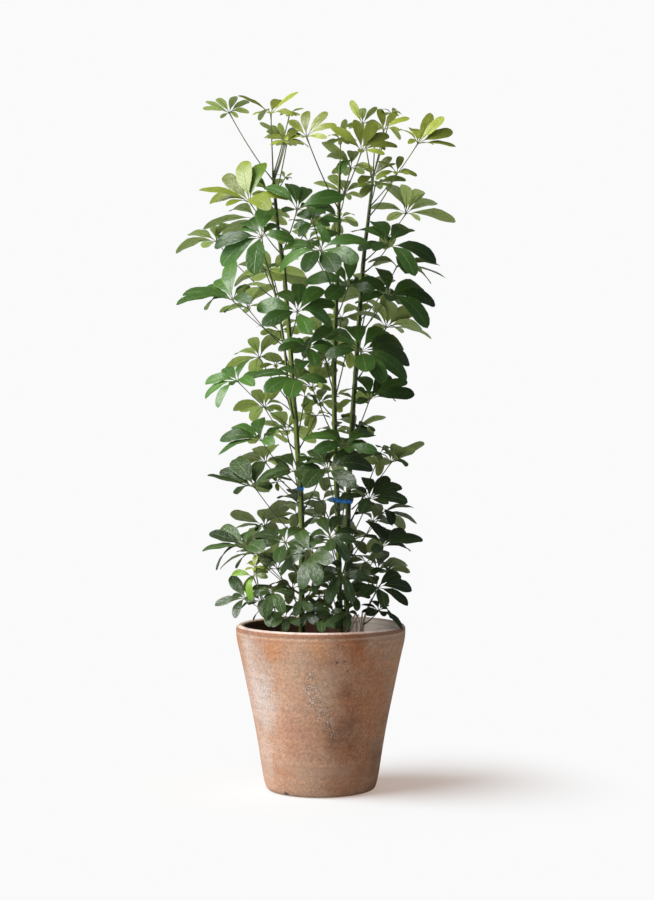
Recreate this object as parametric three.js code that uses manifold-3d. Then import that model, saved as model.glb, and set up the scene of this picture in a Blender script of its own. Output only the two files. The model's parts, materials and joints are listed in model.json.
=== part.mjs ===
// A potted umbrella plant: three tied stems in a terracotta pot, with fronds of seven or eight leaflets.
// Millimetres, +Z up. The origin is the centre of the pot's flat underside, and the viewer stands towards -Y.
import * as THREE from "three";
import { mergeVertices } from "three/addons/utils/BufferGeometryUtils.js";
import Module from "manifold-3d";

const wasm = await Module();
wasm.setup();

// Driving dimensions
const GAP = 0.3;
const POT_SEGMENTS = 36;
const POT_WALL_FOOT = 16;
const SOIL_TOP = 245;
const SOIL_CROWN = 3;
const SOIL_SEGMENTS = 28;
const SOIL_CROWN_RADIUS = 60;
const HOLE_OVERRUN = 5;
const HOLE_SIDES = 10;
const DRAIN_RADIUS = 7;
const DRAIN_CIRCLE = 50;
const DRAIN_COUNT = 3;
const STEM_SIDES = 8;
const THIN_STEM_SIDES = 6;
const THICK_STEM_RADIUS = 3.2;
const BAND_STEPS = 5;
const TAIL_WIDTH_SHARE = 0.8;
const TAIL_SLOPE = 0.2;
const TAIL_LAP = 2;
const PETIOLE_SIDES = 6;
const PETIOLE_TEST_RADIUS = 1.7;
const OWN_PETIOLE_SHARE = 0.9;
const PETIOLE_FOOT_RADIUS = 1.5;
const PETIOLE_HUB_RADIUS = 1.1;
const PETIOLE_SAG = 0.04;
const LONG_PETIOLE = 150;
const HUB_RADIUS = 2.2;
const LOWER_FACE = 2;
const ROOT_SHARE = 0.1;
const PETIOLULE_END = 0.2;
const LEAST_BEARING = 0.3;
const FILL_SHARE = 0.64;
const FILL_LOWEST = -0.12;
const BLADE_THICKNESS = 0.9;
const PETIOLULE_HALF_WIDTH = 1.0;
const PETIOLULE_WIDTH_SHARE = 0.018;
const LARGE_LEAFLET = 82;
const LEAFLET_WIDTH_SHARE = 0.36;
const TOP_LEVEL = 1000;
const TOP_WIDTH_SHARE = 0.3;
const WIDTH_SPREAD = 0.15;
const RISE = 0.6;
const RISE_SPREAD = 0.3;
const RISE_SHARE = 0.35;
const TWIST_MOST = 0.8;
const FRONT_REACH = 250;
const DROOP_SHARE = 0.22;
const LEAST_DEPTH_SHARE = 0.15;
const FEWEST_LEAFLETS = 5;
const NARROWEST_GAP = 0.7;
const WIDEST_GAP = 2.4;

// Where the viewer's eye is, so that a frond set back keeps its place in the view
const EYE = new THREE.Vector3(11, -3500, 670);

// A small move of a leaflet or petiole that would cross a neighbour, in steps on a widening spiral
const GOLDEN_ANGLE = 2.4;
const LEAFLET_TRIALS = 26;
const LEAFLET_STEP = 4;
const DEPTH_FAVOUR = 2;
const PETIOLE_TRIALS = 60;
const PETIOLE_STEP = 3;

// Colours, and the heights where the foliage grows younger or darker
const YOUNG_ZONE = 940;
const DARK_ZONE = 560;
const COLOURS = {
  terracotta: { color: 0xb5856c, roughness: 0.9 },
  soil: { color: 0x3b2c22, roughness: 1 },
  bark: { color: 0x6d6a45, roughness: 0.8 },
  young_leaf: { color: 0x93a857, roughness: 0.55 },
  leaf: { color: 0x3c6b34, roughness: 0.45 },
  dark_leaf: { color: 0x27472c, roughness: 0.4 },
  blue_tie: { color: 0x1f58c4, roughness: 0.5 },
};

// Widths of a blade, each [share of the leaflet's length, share of its half width]
const LARGE_BLADE = [[0.54, 0.86], [0.84, 0.92]];
const SMALL_BLADE = [[0.7, 1]];

// Pot outline, each point [radius, height]: outside from the underside up to the lip, then down the inside
const POT_OUTLINE = [
  [0, 0], [88, 0], [94.5, 1.8], [97.5, 6], [102.4, 26.5], [109.4, 74], [118, 123], [128.8, 174], [141.9, 237],
  [148.2, 262], [149.7, 279], [148.6, 287], [143.2, 290], [137.2, 288.8], [134, 283], [132.4, 262], [127.6, 237],
  [104, 123], [89.6, 32], [84, POT_WALL_FOOT], [0, POT_WALL_FOOT],
];

// Heights of the pot's inner wall that the soil follows
const SOIL_HEIGHTS = [32, 123, 237];

// Stems, each ring [across, depth, height, radius] from its foot in the soil to its tip
const STEMS = {
  left: [
    [-33, -10, 195, 5.4], [-33, -10, 262, 5.4], [-33.5, -12, 330, 5.2], [-33.5, -13, 402, 5], [-33.5, -14, 473, 4.8],
    [-36, -15, 533, 4.7], [-41, -16, 597, 4.6], [-44, -17, 650, 4.5], [-49, -18, 702, 4.4], [-53, -18, 773, 4.2],
    [-59, -18, 844, 4], [-65, -17, 918, 3.8],
  ],
  left_crown: [
    [-65.1, -17, 918.6, 3.8], [-71, -16, 958, 3.6], [-76, -15, 994, 3.3], [-80, -14, 1038, 2.9], [-84, -12, 1084, 2.1],
  ],
  middle: [
    [36, -14, 195, 5], [36, -14, 262, 5], [33.5, -12, 332, 4.9], [31, -10, 438, 4.7], [29, -8, 508, 4.6],
    [26.5, -10, 561, 4.5], [24.7, -14, 632, 4.4], [23.4, -18, 712, 4.3], [24.7, -20, 791, 4.1], [28, -20, 879, 3.9],
    [30, -19, 928, 3.7],
  ],
  middle_crown: [
    [30, -19, 928.6, 3.7], [31, -18, 962, 3.5], [31.8, -14, 1003, 3.2], [32, -12, 1040, 2.8], [33.5, -10, 1098, 2.1],
  ],
  right: [
    [47, 8, 195, 5], [47, 8, 262, 5], [45.5, 9, 332, 4.9], [47, 10, 402, 4.8], [48.5, 10, 491, 4.7],
    [50, 10, 544, 4.6], [54, 13, 614, 4.5], [57, 17, 667, 4.4], [61, 20, 720, 4.3], [64.4, 23, 773, 4.2],
    [70.6, 26, 861, 4], [75, 28, 923, 3.8],
  ],
  right_crown: [
    [75.1, 28, 923.6, 3.8], [79.4, 29, 967, 3.5], [83, 30, 994, 3.3], [88, 30, 1038, 2.8], [93.5, 30, 1088, 2.1],
  ],
  side: [
    [-47.7, -23.1, 652, 2.4], [-52, -32, 674, 2.4], [-58, -42, 722, 2.3], [-63.5, -54, 782, 2.2], [-70.6, -66, 826, 2.1],
    [-81, -80, 879, 1.9], [-94, -92, 922, 1.7], [-98, -98, 940, 1.5],
  ],
  low_left: [
    [-58, -34, 200, 3], [-58, -34, 258, 3], [-64, -36, 280, 2.6], [-84, -40, 304, 2.1], [-104, -40, 322, 1.7],
  ],
  low_right: [
    [74, -12, 200, 2.6], [74, -12, 258, 2.6], [74, -14, 286, 2.3], [80, -16, 312, 2], [90, -18, 336, 1.6],
  ],
  low_middle: [
    [4, -52, 200, 2.6], [4, -52, 258, 2.6], [3, -54, 276, 2.3], [2, -56, 292, 1.8],
  ],
};

// Stems that are one body with the fronds that grow from them, with their node's name and colour
const LEAFY_STEMS = {
  left_crown: ["crown_left", "young_leaf"],
  middle_crown: ["crown_middle", "young_leaf"],
  right_crown: ["crown_right", "young_leaf"],
  side: ["side_shoot", "leaf"],
  low_left: ["low_shoot_left", "dark_leaf"],
  low_right: ["low_shoot_right", "dark_leaf"],
  low_middle: ["low_shoot_middle", "dark_leaf"],
};

// Fronds, each row: name, stem, height of its foot, hub [across, depth, up], reach of a leaflet, lean of its face
// outwards, and the leaflets seen, each [across, up] from the hub. Across and up are as seen on the pot's axis.
const FRONDS = [
  ["frond_01", "left_crown", 1070, [-161, 50, 1191], 50, 0.3,
    [[-42, 21], [-48, 8], [-22, 26], [11, 30], [22, 19]]],
  ["frond_02", "left_crown", 1082, [-88, -80, 1190], 62, 0.3,
    [[-58, 32], [14, 25], [49, 39], [-20, -12]]],
  ["frond_03", "left_crown", 1076, [-64, 110, 1142], 50, 0.4,
    [[-44, 32], [-41, 12], [20, 24]]],
  ["frond_04", "left_crown", 1040, [-60, -130, 1138], 48, 0.4,
    [[19, 23], [-34, 10], [30, -8]]],
  ["frond_05", "left_crown", 1080, [-55, 20, 1190], 28, 0.2,
    [[25, 9], [10, -4], [-16, 8]]],
  ["frond_06", "middle_crown", 1020, [-25, -110, 1149], 56, 0.7,
    [[0, 46], [37, 44], [-30, 30], [50, 22], [-34, -6]]],
  ["frond_07", "middle_crown", 1064, [35, 60, 1142], 42, 0.3,
    [[-22, 8], [9, 39], [24, 4]]],
  ["frond_08", "middle_crown", 1029, [72, -135, 1124], 68, 0.8,
    [[-11, 56], [23, 52], [-54, 42], [-48, 20], [48, 34], [58, 6]]],
  ["frond_09", "right_crown", 1073, [74, 120, 1172], 48, 0.4,
    [[-21, 42], [0, 28], [25, 30], [30, -5]]],
  ["frond_10", "right_crown", 1082, [111, 0, 1161], 50, 0.3,
    [[-7, 38], [14, 34], [46, 21], [28, -10], [-30, 10]]],
  ["frond_11", "right_crown", 1077, [95, -90, 1135], 34, 0.4,
    [[18, -9], [-25, 7], [10, 20]]],
  ["frond_12", "right_crown", 1029, [171, -30, 1137], 68, 0.4,
    [[-40, 24], [-16, 42], [5, 50], [36, 42], [58, 28], [67, 2]]],
  ["frond_13", "middle_crown", 1029, [53, 100, 1094], 70, 0.5,
    [[-51, 46], [-58, 24], [5, 30], [-20, -12]]],
  ["frond_14", "right_crown", 1011, [134, -120, 1085], 46, 0.5,
    [[-38, 20], [-37, -11], [34, -7], [8, 30]]],
  ["frond_15", "left_crown", 967, [-125, -60, 1033], 92, 0.6,
    [[-90, 22], [-88, 4], [-50, 50], [-11, 74], [16, 70], [34, 48], [44, 18], [35, -12]]],
  ["frond_16", "left_crown", 941, [-113, 110, 1004], 96, 0.5,
    [[-95, -18], [-46, 14], [30, 24], [-60, -40]]],
  ["frond_17", "side", 934, [-104, -110, 972], 88, 1.2,
    [[-84, -16], [-66, -44], [-14, -66], [14, 48], [-28, 26], [-52, 12], [36, 2], [34, -12]]],
  ["frond_18", "left", 849, [-184, 80, 964], 75, 0.4,
    [[-48, 14], [-72, -19], [4, 28], [34, 28], [24, -8]]],
  ["frond_19", "left_crown", 941, [-42, -100, 1020], 86, 0.6,
    [[-14, 46], [18, 44], [83, 22], [74, -8], [-51, 35], [-48, -8], [14, -10]]],
  ["frond_20", "middle", 879, [-12, -120, 995], 50, 0.7,
    [[-2, 27], [22, 24], [-28, 20], [-26, -22], [28, -34], [48, 4]]],
  ["frond_21", "middle", 861, [0, -150, 948], 86, 0.9,
    [[84, 14], [66, -20], [27, 34], [32, -46], [-28, -38], [-74, 8], [-72, -28]]],
  ["frond_22", "right", 911, [118, -90, 955], 92, 0.7,
    [[-28, 44], [38, 32], [-62, 26], [86, -28], [48, -52], [-24, -8]]],
  ["frond_23", "right", 830, [134, 20, 920], 90, 0.4,
    [[86, -20], [60, -30], [76, 2], [14, -12]]],
  ["frond_24", "right_crown", 930, [150, 120, 1013], 90, 0.5,
    [[-2, 52], [28, 42], [54, 20], [88, -14], [-32, 44]]],
  ["frond_25", "right_crown", 1032, [96, -60, 1063], 55, 0.5,
    [[-24, -20], [8, -6], [36, -8], [52, 8]]],
  ["frond_26", "middle_crown", 1011, [42, 130, 1047], 60, 0.4,
    [[-55, 21], [-28, 34], [6, 34], [40, 14]]],
  ["frond_27", "middle_crown", 958, [35, 150, 1003], 46, 0.4,
    [[24, 8], [30, -12], [-32, 5]]],
  ["frond_28", "left", 782, [-155, -60, 860], 98, 0.6,
    [[-2, 69], [-22, 50], [-56, 30], [-88, 12], [-97, -12], [-76, -20], [-44, -14], [42, 20]]],
  ["frond_29", "left", 773, [-129, 70, 847], 68, 0.4,
    [[-9, 41], [18, 44], [48, 40], [-40, -8]]],
  ["frond_30", "side", 870, [-98, -56, 912], 62, 0.5,
    [[-51, -23], [-20, 12], [34, -16]]],
  ["frond_31", "left", 790, [-41, -110, 840], 76, 1.1,
    [[2, 50], [44, 42], [66, 14], [60, -18], [20, -38], [-42, 34], [-72, 6], [-62, -24]]],
  ["frond_32", "middle", 830, [48, -80, 884], 80, 0.9,
    [[-48, 48], [4, 56], [-76, 8], [-38, -22], [66, -2], [28, -14], [-16, -14]]],
  ["frond_33", "left", 711, [-25, -70, 778], 62, 0.7,
    [[44, 38], [-50, -6], [-24, -10], [50, 0], [16, -34]]],
  ["frond_34", "right", 715, [71, -90, 770], 98, 1.0,
    [[-18, 44], [44, 36], [-46, 18], [74, 8], [80, -22], [80, -50], [44, -62], [10, -46], [-34, -26]]],
  ["frond_35", "right", 724, [115, 30, 812], 84, 0.4,
    [[-28, 46], [6, 48], [50, 32], [60, 2], [78, -22], [-42, 16]]],
  ["frond_36", "right", 805, [118, -40, 867], 92, 0.6,
    [[-16, 50], [60, 16], [84, -14], [70, -56], [-40, 6], [24, -12]]],
  ["frond_37", "left", 676, [-108, 70, 759], 67, 0.4,
    [[-42, 6], [-14, 36], [21, 39], [-62, -25], [-7, -34]]],
  ["frond_38", "left", 635, [-146, -50, 717], 65, 0.5,
    [[19, 38], [-24, 24], [-58, -2], [-56, -28], [-36, -46], [28, -8]]],
  ["frond_39", "left", 597, [-99, 90, 671], 60, 0.4,
    [[-18, 32], [-56, -4], [-22, -24], [44, -4], [14, 36]]],
  ["frond_40", "left", 672, [-42, -90, 722], 84, 0.7,
    [[-82, 2], [-56, -24], [12, 32], [-16, -44], [40, -16]]],
  ["frond_41", "middle", 655, [-16, 110, 706], 64, 0.4,
    [[11, 58], [41, 35], [-38, 39], [-44, 0]]],
  ["frond_43", "middle", 622, [-2, 90, 678], 50, 0.4,
    [[-8, 20], [36, 12], [40, -14], [-28, -8]]],
  ["frond_44", "right", 614, [86, -50, 685], 80, 0.6,
    [[-52, 10], [-18, 40], [34, 44], [66, 34], [78, 8], [44, -2], [-16, -8]]],
  ["frond_46", "middle", 555, [42, -80, 602], 80, 0.7,
    [[-74, 14], [-50, 22], [52, 22], [46, -16], [-14, -10]]],
  ["frond_47", "left", 535, [-104, -50, 612], 80, 0.5,
    [[-51, 26], [-74, 2], [-77, -17], [-40, -16], [-5, 40], [34, -2], [52, 24]]],
  ["frond_48", "left", 517, [-97, 90, 574], 68, 0.4,
    [[-15, 28], [19, 32], [-45, 11], [-64, -14], [14, -8]]],
  ["frond_49", "left", 440, [-116, -20, 530], 88, 0.5,
    [[-84, 22], [-60, 32], [-30, 44], [8, 46], [-58, 8], [24, -8]]],
  ["frond_50", "left", 517, [-46, -80, 558], 76, 0.6,
    [[-70, -22], [-25, 28], [26, -20], [-24, -10]]],
  ["frond_52", "middle", 490, [12, -115, 561], 84, 0.9,
    [[-46, 4], [-30, 30], [2, 34], [80, 2], [46, 24], [-40, -32], [48, -30], [8, -10]]],
  ["frond_53", "left", 455, [-37, 110, 499], 70, 0.4,
    [[-36, 12], [-58, -26], [-14, 28], [30, 10]]],
  ["frond_54", "right", 438, [85, -60, 510], 68, 0.6,
    [[-6, 38], [35, 39], [58, 22], [64, 0], [46, -20], [-36, 16], [-14, -26]]],
  ["frond_55", "right", 491, [124, 20, 574], 70, 0.4,
    [[-25, 28], [4, 34], [40, 26], [59, 35], [-38, 8], [24, -6]]],
  ["frond_56", "right", 415, [108, 40, 484], 68, 0.4,
    [[56, 10], [62, -18], [16, -20], [36, -30], [-30, 14]]],
  ["frond_57", "left", 376, [-99, 30, 461], 66, 0.4,
    [[-58, -6], [-60, 18], [21, -18], [41, 12], [4, 32], [-25, -24]]],
  ["frond_58", "left", 345, [-131, -50, 425], 80, 0.6,
    [[-78, -6], [-65, 26], [-36, 32], [30, -8], [-6, -8], [-52, -40], [16, 30]]],
  ["frond_60", "left", 380, [-62, -80, 432], 74, 0.7,
    [[-54, 6], [-36, -26], [-14, -34], [-11, 26], [32, 14]]],
  ["frond_61", "middle", 345, [-16, -130, 411], 74, 1.2,
    [[-56, -36], [-16, -60], [14, -52], [36, -14], [-50, -2], [-16, 34], [24, 26]]],
  ["frond_62", "middle", 380, [16, -95, 442], 58, 0.9,
    [[-50, -8], [-18, 34], [16, 38], [50, 8], [2, -24], [34, -42]]],
  ["frond_64", "right", 350, [108, -55, 425], 76, 0.6,
    [[-25, 46], [6, 38], [40, 30], [72, 14], [48, -6], [-54, 10], [-22, -10]]],
  ["frond_65", "low_right", 334, [116, 20, 381], 46, 0.4,
    [[-6, 18], [23, 16], [42, 0], [22, -14], [-26, -4]]],
  ["frond_66", "low_right", 322, [99, -45, 353], 68, 0.6,
    [[-48, 23], [41, 24], [62, -4], [54, -32], [14, -34], [-28, -16]]],
  ["frond_67", "low_left", 318, [-131, -40, 334], 60, 0.6,
    [[7, 40], [-28, 40], [-56, -11], [-34, -10], [-18, -34], [28, 16]]],
  ["frond_68", "low_left", 296, [-84, -80, 345], 54, 0.8,
    [[-30, -8], [-12, -42], [18, -38], [30, 4]]],
  ["frond_71", "middle", 318, [38, -100, 378], 62, 1.0,
    [[-26, -52], [18, -52], [-52, -19], [30, 6], [-20, 20]]],
  ["frond_72", "low_right", 290, [102, -50, 312], 54, 0.6,
    [[42, -32], [20, -12], [-20, -8], [20, 4]]],
  ["frond_73", "low_middle", 286, [-22, -70, 312], 46, 0.8,
    [[-34, -10], [-10, -28], [16, -24], [-6, 20]]],
  ["frond_74", "low_middle", 282, [22, -78, 308], 46, 0.8,
    [[34, -8], [8, -28], [-16, -24], [14, 22]]],
  ["frond_75", "low_middle", 290, [-2, -40, 336], 42, 0.5,
    [[-26, 14], [26, 12], [2, -22]]],
  ["frond_76", "left", 820, [-84, 130, 905], 84, 0.5,
    [[-60, 20], [-30, 40], [40, 30], [60, -20], [-56, -10]]],
  ["frond_77", "right", 790, [84, 150, 868], 86, 0.5,
    [[-60, 20], [-20, 40], [44, 30], [64, -20], [-56, -12]]],
  ["frond_78", "middle", 720, [0, 140, 790], 84, 0.5,
    [[-64, 16], [-20, 40], [40, 34], [62, -16], [-14, -12]]],
  ["frond_79", "left", 560, [-60, 140, 628], 76, 0.5,
    [[-60, 10], [-20, 36], [40, 30], [50, -20], [-40, -10]]],
  ["frond_80", "right", 540, [62, 100, 630], 62, 0.5,
    [[53, 25], [50, 4], [36, -8], [-30, 20], [-20, 30]]],
  ["frond_81", "middle", 400, [10, 130, 470], 76, 0.5,
    [[-60, 10], [-20, 36], [40, 30], [52, -22], [-32, -12]]],
  ["frond_82", "left", 320, [-76, 100, 386], 70, 0.5,
    [[-54, 10], [-20, 34], [36, 28], [-40, -10], [36, -10]]],
  ["frond_83", "right", 320, [100, 96, 384], 70, 0.5,
    [[-40, 24], [10, 36], [52, 10], [36, -12], [-40, -10]]],
];

// Shared numbers from one seeded draw
function drawsFrom(seed) {
  let state = seed;
  return () => {
    state = (state * 16807) % 2147483647;
    return state / 2147483647;
  };
}

function eitherWay(draw) {
  return 2 * draw() - 1;
}

// A point seen across and up on the pot's axis, moved to its depth along the line of sight
function seen(across, depth, up) {
  const share = 1 - depth / EYE.y;
  return new THREE.Vector3(EYE.x + (across - EYE.x) * share, depth, EYE.z + (up - EYE.z) * share);
}

// Closed meshes to solids and back
function toSolid(geometry) {
  const plain = new THREE.BufferGeometry();
  plain.setAttribute("position", geometry.getAttribute("position"));
  if (geometry.index) plain.setIndex(geometry.index);
  const merged = mergeVertices(plain, 1e-4);
  return new wasm.Manifold(
    new wasm.Mesh({
      numProp: 3,
      vertProperties: new Float32Array(merged.getAttribute("position").array),
      triVerts: new Uint32Array(merged.index.array),
    }),
  );
}

function toGeometry(solid) {
  const mesh = solid.getMesh();
  const geometry = new THREE.BufferGeometry();
  geometry.setAttribute("position", new THREE.BufferAttribute(new Float32Array(mesh.vertProperties), 3));
  geometry.setIndex(new THREE.BufferAttribute(new Uint32Array(mesh.triVerts), 1));
  geometry.computeVertexNormals();
  return geometry;
}

function fromRings(rings) {
  const positions = rings.flat().flatMap((point) => [point.x, point.y, point.z]);
  const index = [];
  const starts = [];
  let start = 0;
  for (const ring of rings) {
    starts.push(start);
    start += ring.length;
  }
  for (let i = 2; i < rings[0].length; i += 1) index.push(0, i, i - 1);
  for (let r = 0; r + 1 < rings.length; r += 1) {
    const sides = rings[r].length;
    for (let i = 0; i < sides; i += 1) {
      const here = starts[r] + i;
      const next = starts[r] + ((i + 1) % sides);
      const above = starts[r + 1] + i;
      const aboveNext = starts[r + 1] + ((i + 1) % sides);
      index.push(here, next, aboveNext, here, aboveNext, above);
    }
  }
  const top = starts[rings.length - 1];
  for (let i = 2; i < rings[rings.length - 1].length; i += 1) index.push(top, top + i - 1, top + i);
  const geometry = new THREE.BufferGeometry();
  geometry.setAttribute("position", new THREE.Float32BufferAttribute(positions, 3));
  geometry.setIndex(index);
  return geometry;
}

// A tapered tube along points, with a radius at each
function tube(points, radii, sides) {
  const rings = [];
  let across = new THREE.Vector3(1, 0, 0);
  for (let i = 0; i < points.length; i += 1) {
    const before = points[Math.max(i - 1, 0)];
    const after = points[Math.min(i + 1, points.length - 1)];
    const along = after.clone().sub(before).normalize();
    across = across.clone().addScaledVector(along, -across.dot(along)).normalize();
    const over = along.clone().cross(across);
    const ring = [];
    for (let s = 0; s < sides; s += 1) {
      const angle = (s / sides) * 2 * Math.PI;
      ring.push(
        points[i].clone()
          .addScaledVector(across, radii[i] * Math.cos(angle))
          .addScaledVector(over, radii[i] * Math.sin(angle)),
      );
    }
    rings.push(ring);
  }
  return fromRings(rings);
}

// Pot, soil and the holes in them
function lathe(outline, segments) {
  const geometry = new THREE.LatheGeometry(outline.map(([radius, height]) => new THREE.Vector2(radius, height)), segments);
  return geometry.rotateX(Math.PI / 2);
}

function post(x, y, low, high, radius, sides) {
  const geometry = new THREE.CylinderGeometry(radius, radius, high - low, sides);
  return toSolid(geometry.rotateX(Math.PI / 2).translate(x, y, (low + high) / 2));
}

function potSolid() {
  let pot = toSolid(lathe(POT_OUTLINE, POT_SEGMENTS));
  for (let i = 0; i < DRAIN_COUNT; i += 1) {
    const angle = Math.PI / 2 + (i / DRAIN_COUNT) * 2 * Math.PI;
    const x = DRAIN_CIRCLE * Math.cos(angle);
    const y = DRAIN_CIRCLE * Math.sin(angle);
    pot = pot.subtract(post(x, y, -HOLE_OVERRUN, POT_WALL_FOOT + HOLE_OVERRUN, DRAIN_RADIUS, HOLE_SIDES));
  }
  return pot;
}

// The pot's inner wall radius at a height, less the gap that the soil keeps
function soilRadius(height) {
  const inner = POT_OUTLINE.slice(POT_OUTLINE.length - 8).reverse();
  for (let i = 1; i < inner.length; i += 1) {
    const [r0, h0] = inner[i - 1];
    const [r1, h1] = inner[i];
    if (height <= h1 && h1 > h0) {
      return (r0 + ((r1 - r0) * (height - h0)) / (h1 - h0)) * Math.cos(Math.PI / POT_SEGMENTS) - 2 * GAP;
    }
  }
  return 0;
}

function soilSolid() {
  const low = POT_WALL_FOOT + GAP;
  const wall = [low, ...SOIL_HEIGHTS, SOIL_TOP].map((height) => [soilRadius(height), height]);
  const crown = SOIL_TOP + SOIL_CROWN;
  const outline = [[0, low], ...wall, [SOIL_CROWN_RADIUS, crown], [0, crown]];
  let soil = toSolid(lathe(outline, SOIL_SEGMENTS));
  for (const rings of Object.values(STEMS)) {
    const [x, y, foot, radius] = rings[0];
    if (foot < SOIL_TOP) {
      const hole = (radius + GAP) / Math.cos(Math.PI / HOLE_SIDES);
      soil = soil.subtract(post(x, y, foot - GAP, crown + HOLE_OVERRUN, hole, HOLE_SIDES));
    }
  }
  return soil;
}

// Stems
function stemRings(name) {
  return STEMS[name].map(([x, y, z, radius]) => ({ centre: new THREE.Vector3(x, y, z), radius }));
}

function stemAt(name, height) {
  const rings = stemRings(name);
  for (let i = 1; i < rings.length; i += 1) {
    const low = rings[i - 1];
    const high = rings[i];
    if (height <= high.centre.z || i === rings.length - 1) {
      const share = (height - low.centre.z) / (high.centre.z - low.centre.z);
      return {
        centre: low.centre.clone().lerp(high.centre, share),
        radius: low.radius + (high.radius - low.radius) * share,
      };
    }
  }
  return rings[0];
}

function stemSolid(name) {
  const rings = stemRings(name);
  const sides = rings[0].radius > THICK_STEM_RADIUS ? STEM_SIDES : THIN_STEM_SIDES;
  return toSolid(tube(rings.map((ring) => ring.centre), rings.map((ring) => ring.radius), sides));
}

// The way of a petiole from its stem to its hub, with its middle moved on a widening spiral at each trial
function petioleCurve(frond, trial) {
  const { hub, stem, foot } = frond;
  const grownFrom = stemAt(stem, foot);
  const outward = hub.clone().sub(grownFrom.centre).setZ(0).normalize();
  const rise = hub.clone().sub(grownFrom.centre).normalize();
  const slant = Math.sqrt(1 - rise.dot(outward) ** 2);
  const clear = stem in LEAFY_STEMS ? 0 : grownFrom.radius + GAP + PETIOLE_FOOT_RADIUS * slant;
  const start = grownFrom.centre.clone().addScaledVector(outward, clear);
  const across = new THREE.Vector3(0, 0, 1).cross(outward);
  const turn = trial * GOLDEN_ANGLE;
  const move = PETIOLE_STEP * Math.sqrt(trial);
  const bend = start.clone().add(hub).multiplyScalar(0.5)
    .add(new THREE.Vector3(0, 0, -2 * PETIOLE_SAG * start.distanceTo(hub)))
    .addScaledVector(across, move * Math.cos(turn))
    .addScaledVector(outward.clone().cross(across), move * Math.sin(turn));
  return new THREE.QuadraticBezierCurve3(start, bend, hub);
}

// A plain tube along a petiole up to a share of its way, to test what is clear of it
function petioleTube(curve, share) {
  const points = [0, 0.33, 0.66, 1].map((step) => curve.getPoint(step * share));
  return toSolid(tube(points, points.map(() => PETIOLE_TEST_RADIUS), PETIOLE_SIDES));
}

// Two directions across a frond's face, and a leaflet's bearing round it
function faceAxes(facing) {
  const right = new THREE.Vector3(1, 0, 0).addScaledVector(facing, -facing.x).normalize();
  return [right, facing.clone().cross(right)];
}

function bearingOf(frond, tip) {
  const [right, over] = faceAxes(frond.facing);
  const arm = tip.clone().sub(frond.hub);
  return Math.atan2(arm.dot(over), arm.dot(right));
}

function widestGap(bearings) {
  const order = [...bearings].sort((a, b) => a - b);
  let best = { width: 0, middle: 0 };
  for (let i = 0; i < order.length; i += 1) {
    const next = i + 1 < order.length ? order[i + 1] : order[0] + 2 * Math.PI;
    if (next - order[i] > best.width) best = { width: next - order[i], middle: (next + order[i]) / 2 };
  }
  return best;
}

// Tips of a frond's leaflets: those seen, and then those that fill the widest gaps round its face, nearly level
function leafletTips(frond) {
  const { row, hub, facing } = frond;
  const [, , , [across, depth, up], reach, , offsets] = row;
  const tips = offsets.map(([right, rise]) => {
    const flat = right * right + rise * rise;
    const deep = Math.sqrt(Math.max(reach * reach - flat, (LEAST_DEPTH_SHARE * reach) ** 2));
    const near = seen(across + right, depth - deep, up + rise);
    const far = seen(across + right, depth + deep, up + rise);
    const offCone = (tip) => Math.abs(tip.clone().sub(hub).dot(facing) + DROOP_SHARE * reach);
    return offCone(near) < offCone(far) ? near : far;
  });
  const [right, over] = faceAxes(facing);
  let gap = widestGap(tips.map((tip) => bearingOf(frond, tip)));
  while (gap.width > WIDEST_GAP || (tips.length < FEWEST_LEAFLETS && gap.width > NARROWEST_GAP)) {
    const arm = right.clone().multiplyScalar(Math.cos(gap.middle)).addScaledVector(over, Math.sin(gap.middle));
    arm.addScaledVector(facing, -DROOP_SHARE).normalize();
    arm.setZ(Math.max(arm.z, FILL_LOWEST)).normalize();
    tips.push(hub.clone().addScaledVector(arm, reach * FILL_SHARE));
    gap = widestGap(tips.map((tip) => bearingOf(frond, tip)));
  }
  return tips;
}

// A leaflet's tip moved a little, at its own length, mostly towards or away from the viewer
function movedTip(hub, tip, trial) {
  const arm = tip.clone().sub(hub);
  const length = arm.length();
  const sideways = arm.clone().cross(new THREE.Vector3(0, 1, 0));
  if (sideways.length() < 0.1 * length) sideways.set(1, 0, 0);
  sideways.normalize();
  const inward = sideways.clone().cross(arm).normalize();
  const turn = trial * GOLDEN_ANGLE;
  const move = LEAFLET_STEP * Math.sqrt(trial);
  arm.addScaledVector(sideways, move * Math.cos(turn)).addScaledVector(inward, DEPTH_FAVOUR * move * Math.sin(turn));
  return hub.clone().addScaledVector(arm.normalize(), length);
}

// How far a blade is rolled to show a face to the viewer: the upper one at the front, the underside high at the back
function bladeTwist(hub, level, across, turn) {
  const sight = EYE.clone().sub(hub).normalize();
  const shown = level.dot(sight) - hub.y / FRONT_REACH > 0 ? 1 : -1;
  return shown * across.dot(sight) * TWIST_MOST * turn;
}

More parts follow.
